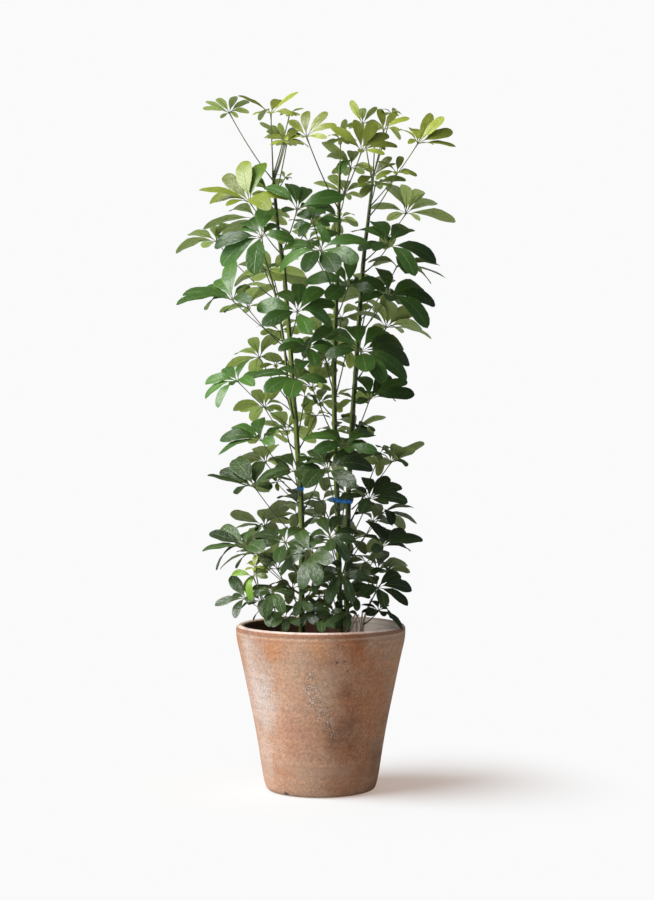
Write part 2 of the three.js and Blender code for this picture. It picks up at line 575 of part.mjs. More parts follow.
// One leaflet as rings of four corners along an arch, with the two corners of its blunt far end
function leafletForm(frond, tip, bearing, shape) {
  const { hub, facing } = frond;
  const length = tip.distanceTo(hub);
  const along = tip.clone().sub(hub).normalize();
  const [right, over] = faceAxes(facing);
  const outward = right.multiplyScalar(Math.cos(bearing)).addScaledVector(over, Math.sin(bearing));
  const level = outward.clone().cross(facing).cross(along).normalize();
  const across = along.clone().cross(level);
  const twist = bladeTwist(hub, level, across, shape.turn);
  const slope = shape.rise + RISE_SHARE * Math.asin(along.dot(facing));
  const crest = hub.clone()
    .addScaledVector(outward, (length / 2) * Math.cos(slope))
    .addScaledVector(facing, (length / 2) * Math.sin(slope));
  const curve = new THREE.QuadraticBezierCurve3(hub, crest, tip);
  const half = (shape.width * length) / 2;
  const narrow = Math.min(PETIOLULE_HALF_WIDTH, PETIOLULE_WIDTH_SHARE * length);
  const widths = length > LARGE_LEAFLET ? LARGE_BLADE : SMALL_BLADE;
  const stations = [[PETIOLULE_END, narrow], ...widths.map(([share, width]) => [share, width * half])];
  const upwardAt = (roll) => level.clone().multiplyScalar(Math.cos(roll)).addScaledVector(across, Math.sin(roll));
  const ringAt = (share, width) => {
    const upward = upwardAt(share > PETIOLULE_END ? twist : 0);
    const side = along.clone().cross(upward);
    const lift = upward.multiplyScalar(BLADE_THICKNESS / 2);
    const left = curve.getPoint(share).addScaledVector(side, -width);
    const right = curve.getPoint(share).addScaledVector(side, width);
    return [left.clone().add(lift), right.clone().add(lift), right.clone().sub(lift), left.clone().sub(lift)];
  };
  const lift = upwardAt(twist).multiplyScalar(BLADE_THICKNESS / 2);
  return {
    root: ringAt(ROOT_SHARE, narrow),
    rings: stations.map(([share, width]) => ringAt(share, width)),
    end: [tip.clone().add(lift), tip.clone().sub(lift)],
  };
}

// Faces along rings of four corners, from the ring numbered first to a blunt end of two corners. The upper and the
// lower face are split along the same diagonal, so that they stay apart where the blade rolls.
function bladeFaces(first, others, end) {
  const faces = [];
  let here = first;
  for (const next of others) {
    for (let i = 0; i < 4; i += 1) {
      const j = (i + 1) % 4;
      if (i === LOWER_FACE) faces.push(here[i], here[j], next[i], here[j], next[j], next[i]);
      else faces.push(here[i], here[j], next[j], here[i], next[j], next[i]);
    }
    here = next;
  }
  const [left, right, lowRight, lowLeft] = here;
  const [top, low] = end;
  faces.push(left, right, top, lowRight, lowLeft, low, right, lowRight, low, right, low, top);
  faces.push(lowLeft, left, top, lowLeft, top, low);
  return faces;
}

function meshOf(points, faces) {
  const geometry = new THREE.BufferGeometry();
  geometry.setAttribute("position", new THREE.Float32BufferAttribute(points.flatMap((p) => [p.x, p.y, p.z]), 3));
  geometry.setIndex(faces);
  return geometry;
}

// A leaflet's blade as a solid of its own, to test what is clear of it
function bladeSolid(form) {
  const points = [...form.root, ...form.rings.flat(), ...form.end];
  const numbered = [form.root, ...form.rings].map((_, ring) => [0, 1, 2, 3].map((i) => 4 * ring + i));
  const end = [points.length - 2, points.length - 1];
  const faces = [0, 3, 2, 0, 2, 1, ...bladeFaces(numbered[0], numbered.slice(1), end)];
  return toSolid(meshOf(points, faces));
}

// A whole frond in one closed thin sheet: its leaflets leave the sides of a flat hub, with the petiole under it
function frondSolid(frond) {
  const { hub, facing, curve } = frond;
  const leaflets = [...frond.leaflets].sort((a, b) => a.bearing - b.bearing);
  const count = leaflets.length;
  const [right, over] = faceAxes(facing);
  const arms = leaflets.map((leaflet, i) => {
    const next = i + 1 < count ? leaflets[i + 1].bearing : leaflets[0].bearing + 2 * Math.PI;
    const middle = (leaflet.bearing + next) / 2;
    return right.clone().multiplyScalar(Math.cos(middle)).addScaledVector(over, Math.sin(middle));
  });
  const points = [];
  const faces = [];
  const number = (point) => points.push(point) - 1;
  const corner = (arm, rise) => number(hub.clone().addScaledVector(arm, HUB_RADIUS).addScaledVector(facing, rise));
  const top = arms.map((arm) => corner(arm, BLADE_THICKNESS / 2));
  const low = arms.map((arm) => corner(arm, -BLADE_THICKNESS / 2));
  for (let i = 1; i + 1 < count; i += 1) faces.push(top[0], top[i], top[i + 1]);
  leaflets.forEach(({ form }, i) => {
    const before = (i + count - 1) % count;
    const root = [top[i], top[before], low[before], low[i]];
    faces.push(...bladeFaces(root, form.rings.map((ring) => ring.map(number)), form.end.map(number)));
  });
  const steps = curve.getLength() > LONG_PETIOLE ? 3 : 2;
  let here = low;
  for (let step = steps - 1; step >= 0; step -= 1) {
    const share = step / steps;
    const towardsFoot = curve.getTangent(share).negate();
    const turn = new THREE.Quaternion().setFromUnitVectors(facing.clone().negate(), towardsFoot);
    const radius = PETIOLE_FOOT_RADIUS + (PETIOLE_HUB_RADIUS - PETIOLE_FOOT_RADIUS) * share;
    const next = arms.map((arm) => number(
      curve.getPoint(share).addScaledVector(arm.clone().applyQuaternion(turn), radius),
    ));
    for (let i = 0; i < count; i += 1) {
      const j = (i + 1) % count;
      faces.push(here[i], next[i], next[j], here[i], next[j], here[j]);
    }
    here = next;
  }
  for (let i = 1; i + 1 < count; i += 1) faces.push(here[0], here[i + 1], here[i]);
  return toSolid(meshOf(points, faces));
}

// What is placed so far, so that each new leaflet or petiole is set clear of it
const placed = [];

function place(solid, body, owner) {
  placed.push({ solid, body, owner, box: solid.boundingBox() });
}

function isClear(solid, others) {
  const box = solid.boundingBox();
  return others.every((other) => {
    const apart = [0, 1, 2].some(
      (axis) => box.min[axis] > other.box.max[axis] + GAP || box.max[axis] < other.box.min[axis] - GAP,
    );
    return apart || solid.minGap(other.solid, GAP) >= GAP * 0.99;
  });
}

function asFrond(row, number) {
  const [name, stem, foot, [across, depth, up], , lean] = row;
  const hub = seen(across, depth, up);
  const outward = hub.clone().sub(stemAt(stem, foot).centre).setZ(0).normalize();
  const facing = outward.multiplyScalar(lean).add(new THREE.Vector3(0, 0, 1)).normalize();
  const body = stem in LEAFY_STEMS ? stem : name;
  return { row, name, body, stem, foot, hub, facing, number, leaflets: [] };
}

function addPetiole(frond) {
  const others = placed.filter((other) => other.body !== frond.body);
  for (let trial = 0; trial < PETIOLE_TRIALS; trial += 1) {
    const curve = petioleCurve(frond, trial);
    const petiole = petioleTube(curve, 1);
    if (isClear(petiole, others)) {
      place(petiole, frond.body, frond.name);
      frond.curve = curve;
      return;
    }
  }
  throw new Error(`${frond.name} has no clear way to its stem`);
}

function addLeaflets(frond) {
  const draw = drawsFrom(frond.number + 1);
  const others = placed.filter((other) => other.owner !== frond.name);
  const ownPetiole = petioleTube(frond.curve, OWN_PETIOLE_SHARE);
  const own = [{ solid: ownPetiole, box: ownPetiole.boundingBox() }];
  const apartFrom = (bearing) => frond.leaflets.every((other) => {
    const turn = Math.abs(bearing - other.bearing);
    return Math.min(turn, 2 * Math.PI - turn) > LEAST_BEARING;
  });
  const widthShare = frond.hub.z > TOP_LEVEL ? TOP_WIDTH_SHARE : LEAFLET_WIDTH_SHARE;
  for (const tip of leafletTips(frond)) {
    const shape = {
      turn: draw(),
      rise: RISE * (1 + RISE_SPREAD * eitherWay(draw)),
      width: widthShare * (1 + WIDTH_SPREAD * eitherWay(draw)),
    };
    for (let trial = 0; trial < LEAFLET_TRIALS; trial += 1) {
      const end = movedTip(frond.hub, tip, trial);
      const bearing = bearingOf(frond, end);
      const form = leafletForm(frond, end, bearing, shape);
      const blade = bladeSolid(form);
      if (apartFrom(bearing) && isClear(blade, own) && isClear(blade, others)) {
        place(blade, frond.body, frond.name);
        own.push({ solid: blade, box: blade.boundingBox() });
        frond.leaflets.push({ form, bearing });
        break;
      }
    }
  }
}

// Ties: a flat band round one stem, or round two with a free end
function bandShape(centres, inner, outer) {
  const outline = (radius) => {
    const points = [];
    const [first, last] = [centres[0], centres[centres.length - 1]];
    const heading = Math.atan2(last.y - first.y, last.x - first.x);
    for (const [centre, from] of [[last, heading - Math.PI / 2], [first, heading + Math.PI / 2]]) {
      for (let i = 0; i <= BAND_STEPS; i += 1) {
        const angle = from + (i / BAND_STEPS) * Math.PI;
        points.push(new THREE.Vector2(centre.x + radius * Math.cos(angle), centre.y + radius * Math.sin(angle)));
      }
    }
    return points;
  };
  const shape = new THREE.Shape(outline(outer));
  shape.holes.push(new THREE.Path(outline(inner)));
  return shape;
}

function tieSolid({ stems, height, width, thickness, tail }) {
  const rings = stems.map((name) => stemAt(name, height));
  const inner = Math.max(...rings.map((ring) => ring.radius)) + 2 * GAP;
  const shape = bandShape(rings.map((ring) => ring.centre), inner, inner + thickness);
  const band = new THREE.ExtrudeGeometry(shape, { depth: width, bevelEnabled: false, steps: 1 });
  let solid = toSolid(band.translate(0, 0, height - width / 2));
  if (tail > 0) {
    const { x, y } = rings[0].centre;
    const end = new THREE.BoxGeometry(tail, thickness, width * TAIL_WIDTH_SHARE);
    end.translate(-tail / 2, 0, 0).rotateY(-TAIL_SLOPE);
    solid = solid.add(toSolid(end.translate(x - TAIL_LAP, y - inner - thickness / 2, height)));
  }
  return solid;
}

const TIES = {
  tie_upper: { stems: ["left"], height: 530, width: 6, thickness: 1.2, tail: 0 },
  tie_pair: { stems: ["middle", "right"], height: 509, width: 7, thickness: 1.2, tail: 18 },
  tie_lower: { stems: ["left"], height: 326, width: 6, thickness: 1.2, tail: 0 },
};

// The assembly
const group = new THREE.Group();

function show(name, solid, colour) {
  const material = new THREE.MeshStandardMaterial({ ...COLOURS[colour], metalness: 0, side: THREE.FrontSide });
  const mesh = new THREE.Mesh(toGeometry(solid), material);
  mesh.name = name;
  group.add(mesh);
}

function leafColour(height) {
  if (height > YOUNG_ZONE) return "young_leaf";
  return height > DARK_ZONE ? "leaf" : "dark_leaf";
}

const pot = potSolid();
const soil = soilSolid();
place(pot, "pot", "pot");
place(soil, "soil", "soil");
show("pot", pot, "terracotta");
show("soil", soil, "soil");

const stemBodies = {};
for (const name of Object.keys(STEMS)) {
  stemBodies[name] = stemSolid(name);
  place(stemBodies[name], name, name);
  if (!(name in LEAFY_STEMS)) show(`stem_${name}`, stemBodies[name], "bark");
}

for (const [name, tie] of Object.entries(TIES)) {
  const solid = tieSolid(tie);
  place(solid, name, name);
  show(name, solid, "blue_tie");
}

const fronds = FRONDS.map(asFrond);
fronds.forEach(addPetiole);
fronds.forEach(addLeaflets);

for (const [stem, [name, colour]] of Object.entries(LEAFY_STEMS)) {
  const grown = fronds.filter((frond) => frond.stem === stem).map(frondSolid);
  show(name, grown.reduce((whole, frond) => whole.add(frond), stemBodies[stem]), colour);
}
for (const frond of fronds.filter((each) => !(each.stem in LEAFY_STEMS))) {
  show(frond.name, frondSolid(frond), leafColour(frond.hub.z));
}

export default group;
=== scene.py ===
# A potted umbrella plant, dressed for the render: veined leaves, round stalks and stems, tape, clay and soil.
# Sizes in the tables are in millimetres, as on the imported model, and every mesh is made in metres.
import json
import math

import bmesh
import bpy
from bpy.props import FloatProperty, FloatVectorProperty, IntProperty, PointerProperty
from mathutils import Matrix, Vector, kdtree


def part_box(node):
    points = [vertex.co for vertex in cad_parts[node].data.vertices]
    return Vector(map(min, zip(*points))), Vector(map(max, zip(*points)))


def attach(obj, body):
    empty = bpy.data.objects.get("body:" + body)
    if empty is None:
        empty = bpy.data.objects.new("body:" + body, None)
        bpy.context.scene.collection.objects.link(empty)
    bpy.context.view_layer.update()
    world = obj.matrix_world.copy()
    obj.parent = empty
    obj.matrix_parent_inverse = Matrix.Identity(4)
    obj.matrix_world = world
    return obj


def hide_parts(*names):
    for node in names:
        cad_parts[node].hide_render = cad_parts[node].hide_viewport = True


bl_info = {
    "name": "Potted umbrella plant",
    "version": (1, 0, 0),
    "blender": (4, 5, 0),
    "location": "3D View > Sidebar > Umbrella plant",
    "description": "Leaves, stems, tape, soil and a clay pot round the packed plant",
    "category": "Add Mesh",
}

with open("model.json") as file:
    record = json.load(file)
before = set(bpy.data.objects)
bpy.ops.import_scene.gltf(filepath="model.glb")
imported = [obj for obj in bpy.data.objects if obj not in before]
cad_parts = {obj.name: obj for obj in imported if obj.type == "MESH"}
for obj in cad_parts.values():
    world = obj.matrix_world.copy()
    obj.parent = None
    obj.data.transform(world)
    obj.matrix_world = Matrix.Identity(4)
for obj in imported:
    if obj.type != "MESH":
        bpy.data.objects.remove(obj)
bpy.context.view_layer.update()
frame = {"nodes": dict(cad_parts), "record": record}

MM = 0.001
BODY = "root"

# Where the viewer's eye is, so that a frond set back keeps its place in the view
EYE = (11, -3500, 670)

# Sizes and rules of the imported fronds, which the finer ones keep
GAP = 0.3
PETIOLE_FOOT_RADIUS = 1.5
PETIOLE_HUB_RADIUS = 1.1
PETIOLE_SAG = 0.04
PETIOLE_TRIALS = 60
PETIOLE_STEP = 3
PETIOLE_SIDES = 4
LONG_PETIOLE = 150
GOLDEN_ANGLE = 2.4
DRAW_FACTOR = 16807
DRAW_RANGE = 2147483647
LEAFLET_TRIALS = 26
LEAFLET_STEP = 4
DEPTH_FAVOUR = 2
BLADE_THICKNESS = 0.9
LEAST_BEARING = 0.12
FILL_SHARE = 0.64
FILL_LOWEST = -0.12
LEAFLET_WIDTH_SHARE = 0.36
TOP_LEVEL = 1000
TOP_WIDTH_SHARE = 0.3
WIDTH_SPREAD = 0.15
RISE = 0.6
RISE_SPREAD = 0.3
RISE_SHARE = 0.35
TWIST_MOST = 0.8
FRONT_REACH = 250
ROLL_START, ROLL_END = 0.15, 0.5
DROOP_SHARE = 0.22
LEAST_DEPTH_SHARE = 0.15
FEWEST_LEAFLETS = 5
NARROWEST_GAP = 0.7
WIDEST_GAP = 2.4

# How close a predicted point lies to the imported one
MATCH = 0.02

# Pot outline, each point [radius, height]: outside from the underside up to the lip, then down the inside
POT_OUTLINE = [
    [0, 0], [88, 0], [94.5, 1.8], [97.5, 6], [102.4, 26.5], [109.4, 74], [118, 123], [128.8, 174],
    [141.9, 237], [148.2, 262], [149.7, 279], [148.6, 287], [143.2, 290], [137.2, 288.8], [134, 283],
    [132.4, 262], [127.6, 237], [104, 123], [89.6, 32], [84, 16], [0, 16],
]

# Stems, each ring [across, depth, height, radius] from its foot in the soil to its tip
STEMS = {
    "left": [
        [-33, -10, 195, 5.4], [-33, -10, 262, 5.4], [-33.5, -12, 330, 5.2], [-33.5, -13, 402, 5],
        [-33.5, -14, 473, 4.8], [-36, -15, 533, 4.7], [-41, -16, 597, 4.6], [-44, -17, 650, 4.5],
        [-49, -18, 702, 4.4], [-53, -18, 773, 4.2], [-59, -18, 844, 4], [-65, -17, 918, 3.8],
    ],
    "left_crown": [
        [-65.1, -17, 918.6, 3.8], [-71, -16, 958, 3.6], [-76, -15, 994, 3.3], [-80, -14, 1038, 2.9],
        [-84, -12, 1084, 2.1],
    ],
    "middle": [
        [36, -14, 195, 5], [36, -14, 262, 5], [33.5, -12, 332, 4.9], [31, -10, 438, 4.7],
        [29, -8, 508, 4.6], [26.5, -10, 561, 4.5], [24.7, -14, 632, 4.4], [23.4, -18, 712, 4.3],
        [24.7, -20, 791, 4.1], [28, -20, 879, 3.9], [30, -19, 928, 3.7],
    ],
    "middle_crown": [
        [30, -19, 928.6, 3.7], [31, -18, 962, 3.5], [31.8, -14, 1003, 3.2], [32, -12, 1040, 2.8],
        [33.5, -10, 1098, 2.1],
    ],
    "right": [
        [47, 8, 195, 5], [47, 8, 262, 5], [45.5, 9, 332, 4.9], [47, 10, 402, 4.8], [48.5, 10, 491, 4.7],
        [50, 10, 544, 4.6], [54, 13, 614, 4.5], [57, 17, 667, 4.4], [61, 20, 720, 4.3],
        [64.4, 23, 773, 4.2], [70.6, 26, 861, 4], [75, 28, 923, 3.8],
    ],
    "right_crown": [
        [75.1, 28, 923.6, 3.8], [79.4, 29, 967, 3.5], [83, 30, 994, 3.3], [88, 30, 1038, 2.8],
        [93.5, 30, 1088, 2.1],
    ],
    "side": [
        [-47.7, -23.1, 652, 2.4], [-52, -32, 674, 2.4], [-58, -42, 722, 2.3], [-63.5, -54, 782, 2.2],
        [-70.6, -66, 826, 2.1], [-81, -80, 879, 1.9], [-94, -92, 922, 1.7], [-98, -98, 940, 1.5],
    ],
    "low_left": [
        [-58, -34, 200, 3], [-58, -34, 258, 3], [-64, -36, 280, 2.6], [-84, -40, 304, 2.1],
        [-104, -40, 322, 1.7],
    ],
    "low_right": [
        [74, -12, 200, 2.6], [74, -12, 258, 2.6], [74, -14, 286, 2.3], [80, -16, 312, 2],
        [90, -18, 336, 1.6],
    ],
    "low_middle": [
        [4, -52, 200, 2.6], [4, -52, 258, 2.6], [3, -54, 276, 2.3], [2, -56, 292, 1.8],
    ],
}

# Stems that are one body with the fronds that grow from them, with their node's name and material slot
LEAFY_STEMS = {
    "left_crown": ["crown_left", "young_leaf"],
    "middle_crown": ["crown_middle", "young_leaf"],
    "right_crown": ["crown_right", "young_leaf"],
    "side": ["side_shoot", "leaf"],
    "low_left": ["low_shoot_left", "dark_leaf"],
    "low_right": ["low_shoot_right", "dark_leaf"],
    "low_middle": ["low_shoot_middle", "dark_leaf"],
}

# Fronds, each row: number, stem, height of its foot, hub [across, depth, up], reach of a leaflet, lean of its
# face outwards, and the leaflets seen, each [across, up] from the hub, all as seen on the pot's axis. The
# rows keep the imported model's order, since a row's place in the table starts its random draws.
FRONDS = [
    [1, "left_crown", 1070, [-161, 50, 1191], 50, 0.3, [[-42, 21], [-48, 8], [-22, 26], [11, 30], [22, 19]]],
    [2, "left_crown", 1082, [-88, -80, 1190], 62, 0.3, [[-58, 32], [14, 25], [49, 39], [-20, -12]]],
    [3, "left_crown", 1076, [-64, 110, 1142], 50, 0.4, [[-44, 32], [-41, 12], [20, 24]]],
    [4, "left_crown", 1040, [-60, -130, 1138], 48, 0.4, [[19, 23], [-34, 10], [30, -8]]],
    [5, "left_crown", 1080, [-55, 20, 1190], 28, 0.2, [[25, 9], [10, -4], [-16, 8]]],
    [6, "middle_crown", 1020, [-25, -110, 1149], 56, 0.7,
        [[0, 46], [37, 44], [-30, 30], [50, 22], [-34, -6]]],
    [7, "middle_crown", 1064, [35, 60, 1142], 42, 0.3, [[-22, 8], [9, 39], [24, 4]]],
    [8, "middle_crown", 1029, [72, -135, 1124], 68, 0.8,
        [[-11, 56], [23, 52], [-54, 42], [-48, 20], [48, 34], [58, 6]]],
    [9, "right_crown", 1073, [74, 120, 1172], 48, 0.4, [[-21, 42], [0, 28], [25, 30], [30, -5]]],
    [10, "right_crown", 1082, [111, 0, 1161], 50, 0.3, [[-7, 38], [14, 34], [46, 21], [28, -10], [-30, 10]]],
    [11, "right_crown", 1077, [95, -90, 1135], 34, 0.4, [[18, -9], [-25, 7], [10, 20]]],
    [12, "right_crown", 1029, [171, -30, 1137], 68, 0.4,
        [[-40, 24], [-16, 42], [5, 50], [36, 42], [58, 28], [67, 2]]],
    [13, "middle_crown", 1029, [53, 100, 1094], 70, 0.5, [[-51, 46], [-58, 24], [5, 30], [-20, -12]]],
    [14, "right_crown", 1011, [134, -120, 1085], 46, 0.5, [[-38, 20], [-37, -11], [34, -7], [8, 30]]],
    [15, "left_crown", 967, [-125, -60, 1033], 92, 0.6,
        [[-90, 22], [-88, 4], [-50, 50], [-11, 74], [16, 70], [34, 48], [44, 18], [35, -12]]],
    [16, "left_crown", 941, [-113, 110, 1004], 96, 0.5, [[-95, -18], [-46, 14], [30, 24], [-60, -40]]],
    [17, "side", 934, [-104, -110, 972], 88, 1.2,
        [[-84, -16], [-66, -44], [-14, -66], [14, 48], [-28, 26], [-52, 12], [36, 2], [34, -12]]],
    [18, "left", 849, [-184, 80, 964], 75, 0.4, [[-48, 14], [-72, -19], [4, 28], [34, 28], [24, -8]]],
    [19, "left_crown", 941, [-42, -100, 1020], 86, 0.6,
        [[-14, 46], [18, 44], [83, 22], [74, -8], [-51, 35], [-48, -8], [14, -10]]],
    [20, "middle", 879, [-12, -120, 995], 50, 0.7,
        [[-2, 27], [22, 24], [-28, 20], [-26, -22], [28, -34], [48, 4]]],
    [21, "middle", 861, [0, -150, 948], 86, 0.9,
        [[84, 14], [66, -20], [27, 34], [32, -46], [-28, -38], [-74, 8], [-72, -28]]],
    [22, "right", 911, [118, -90, 955], 92, 0.7,
        [[-28, 44], [38, 32], [-62, 26], [86, -28], [48, -52], [-24, -8]]],
    [23, "right", 830, [134, 20, 920], 90, 0.4, [[86, -20], [60, -30], [76, 2], [14, -12]]],
    [24, "right_crown", 930, [150, 120, 1013], 90, 0.5, [[-2, 52], [28, 42], [54, 20], [88, -14], [-32, 44]]],
    [25, "right_crown", 1032, [96, -60, 1063], 55, 0.5, [[-24, -20], [8, -6], [36, -8], [52, 8]]],
    [26, "middle_crown", 1011, [42, 130, 1047], 60, 0.4, [[-55, 21], [-28, 34], [6, 34], [40, 14]]],
    [27, "middle_crown", 958, [35, 150, 1003], 46, 0.4, [[24, 8], [30, -12], [-32, 5]]],
    [28, "left", 782, [-155, -60, 860], 98, 0.6,
        [[-2, 69], [-22, 50], [-56, 30], [-88, 12], [-97, -12], [-76, -20], [-44, -14], [42, 20]]],
    [29, "left", 773, [-129, 70, 847], 68, 0.4, [[-9, 41], [18, 44], [48, 40], [-40, -8]]],
    [30, "side", 870, [-98, -56, 912], 62, 0.5, [[-51, -23], [-20, 12], [34, -16]]],
    [31, "left", 790, [-41, -110, 840], 76, 1.1,
        [[2, 50], [44, 42], [66, 14], [60, -18], [20, -38], [-42, 34], [-72, 6], [-62, -24]]],
    [32, "middle", 830, [48, -80, 884], 80, 0.9,
        [[-48, 48], [4, 56], [-76, 8], [-38, -22], [66, -2], [28, -14], [-16, -14]]],
    [33, "left", 711, [-25, -70, 778], 62, 0.7, [[44, 38], [-50, -6], [-24, -10], [50, 0], [16, -34]]],
    [34, "right", 715, [71, -90, 770], 98, 1.0,
        [[-18, 44], [44, 36], [-46, 18], [74, 8], [80, -22], [80, -50], [44, -62], [10, -46], [-34, -26]]],
    [35, "right", 724, [115, 30, 812], 84, 0.4,
        [[-28, 46], [6, 48], [50, 32], [60, 2], [78, -22], [-42, 16]]],
    [36, "right", 805, [118, -40, 867], 92, 0.6,
        [[-16, 50], [60, 16], [84, -14], [70, -56], [-40, 6], [24, -12]]],
    [37, "left", 676, [-108, 70, 759], 67, 0.4, [[-42, 6], [-14, 36], [21, 39], [-62, -25], [-7, -34]]],
    [38, "left", 635, [-146, -50, 717], 65, 0.5,
        [[19, 38], [-24, 24], [-58, -2], [-56, -28], [-36, -46], [28, -8]]],
    [39, "left", 597, [-99, 90, 671], 60, 0.4, [[-18, 32], [-56, -4], [-22, -24], [44, -4], [14, 36]]],
    [40, "left", 672, [-42, -90, 722], 84, 0.7, [[-82, 2], [-56, -24], [12, 32], [-16, -44], [40, -16]]],
    [41, "middle", 655, [-16, 110, 706], 64, 0.4, [[11, 58], [41, 35], [-38, 39], [-44, 0]]],
    [43, "middle", 622, [-2, 90, 678], 50, 0.4, [[-8, 20], [36, 12], [40, -14], [-28, -8]]],
    [44, "right", 614, [86, -50, 685], 80, 0.6,
        [[-52, 10], [-18, 40], [34, 44], [66, 34], [78, 8], [44, -2], [-16, -8]]],
    [46, "middle", 555, [42, -80, 602], 80, 0.7, [[-74, 14], [-50, 22], [52, 22], [46, -16], [-14, -10]]],
    [47, "left", 535, [-104, -50, 612], 80, 0.5,
        [[-51, 26], [-74, 2], [-77, -17], [-40, -16], [-5, 40], [34, -2], [52, 24]]],
    [48, "left", 517, [-97, 90, 574], 68, 0.4, [[-15, 28], [19, 32], [-45, 11], [-64, -14], [14, -8]]],
    [49, "left", 440, [-116, -20, 530], 88, 0.5,
        [[-84, 22], [-60, 32], [-30, 44], [8, 46], [-58, 8], [24, -8]]],
    [50, "left", 517, [-46, -80, 558], 76, 0.6, [[-70, -22], [-25, 28], [26, -20], [-24, -10]]],
    [52, "middle", 490, [12, -115, 561], 84, 0.9,
        [[-46, 4], [-30, 30], [2, 34], [80, 2], [46, 24], [-40, -32], [48, -30], [8, -10]]],
    [53, "left", 455, [-37, 110, 499], 70, 0.4, [[-36, 12], [-58, -26], [-14, 28], [30, 10]]],
    [54, "right", 438, [85, -60, 510], 68, 0.6,
        [[-6, 38], [35, 39], [58, 22], [64, 0], [46, -20], [-36, 16], [-14, -26]]],
    [55, "right", 491, [124, 20, 574], 70, 0.4, [[-25, 28], [4, 34], [40, 26], [59, 35], [-38, 8], [24, -6]]],
    [56, "right", 415, [108, 40, 484], 68, 0.4, [[56, 10], [62, -18], [16, -20], [36, -30], [-30, 14]]],
    [57, "left", 376, [-99, 30, 461], 66, 0.4,
        [[-58, -6], [-60, 18], [21, -18], [41, 12], [4, 32], [-25, -24]]],
    [58, "left", 345, [-131, -50, 425], 80, 0.6,
        [[-78, -6], [-65, 26], [-36, 32], [30, -8], [-6, -8], [-52, -40], [16, 30]]],
    [60, "left", 380, [-62, -80, 432], 74, 0.7, [[-54, 6], [-36, -26], [-14, -34], [-11, 26], [32, 14]]],
    [61, "middle", 345, [-16, -130, 411], 74, 1.2,
        [[-56, -36], [-16, -60], [14, -52], [36, -14], [-50, -2], [-16, 34], [24, 26]]],
    [62, "middle", 380, [16, -95, 442], 58, 0.9,
        [[-50, -8], [-18, 34], [16, 38], [50, 8], [2, -24], [34, -42]]],
    [64, "right", 350, [108, -55, 425], 76, 0.6,
        [[-25, 46], [6, 38], [40, 30], [72, 14], [48, -6], [-54, 10], [-22, -10]]],
    [65, "low_right", 334, [116, 20, 381], 46, 0.4, [[-6, 18], [23, 16], [42, 0], [22, -14], [-26, -4]]],
    [66, "low_right", 322, [99, -45, 353], 68, 0.6,
        [[-48, 23], [41, 24], [62, -4], [54, -32], [14, -34], [-28, -16]]],
    [67, "low_left", 318, [-131, -40, 334], 60, 0.6,
        [[7, 40], [-28, 40], [-56, -11], [-34, -10], [-18, -34], [28, 16]]],
    [68, "low_left", 296, [-84, -80, 345], 54, 0.8, [[-30, -8], [-12, -42], [18, -38], [30, 4]]],
    [71, "middle", 318, [38, -100, 378], 62, 1.0, [[-26, -52], [18, -52], [-52, -19], [30, 6], [-20, 20]]],
    [72, "low_right", 290, [102, -50, 312], 54, 0.6, [[42, -32], [20, -12], [-20, -8], [20, 4]]],
    [73, "low_middle", 286, [-22, -70, 312], 46, 0.8, [[-34, -10], [-10, -28], [16, -24], [-6, 20]]],
    [74, "low_middle", 282, [22, -78, 308], 46, 0.8, [[34, -8], [8, -28], [-16, -24], [14, 22]]],
    [75, "low_middle", 290, [-2, -40, 336], 42, 0.5, [[-26, 14], [26, 12], [2, -22]]],
    [76, "left", 820, [-84, 130, 905], 84, 0.5, [[-60, 20], [-30, 40], [40, 30], [60, -20], [-56, -10]]],
    [77, "right", 790, [84, 150, 868], 86, 0.5, [[-60, 20], [-20, 40], [44, 30], [64, -20], [-56, -12]]],
    [78, "middle", 720, [0, 140, 790], 84, 0.5, [[-64, 16], [-20, 40], [40, 34], [62, -16], [-14, -12]]],
    [79, "left", 560, [-60, 140, 628], 76, 0.5, [[-60, 10], [-20, 36], [40, 30], [50, -20], [-40, -10]]],
    [80, "right", 540, [62, 100, 630], 62, 0.5, [[53, 25], [50, 4], [36, -8], [-30, 20], [-20, 30]]],
    [81, "middle", 400, [10, 130, 470], 76, 0.5, [[-60, 10], [-20, 36], [40, 30], [52, -22], [-32, -12]]],
    [82, "left", 320, [-76, 100, 386], 70, 0.5, [[-54, 10], [-20, 34], [36, 28], [-40, -10], [36, -10]]],
    [83, "right", 320, [100, 96, 384], 70, 0.5, [[-40, 24], [10, 36], [52, 10], [36, -12], [-40, -10]]],
]

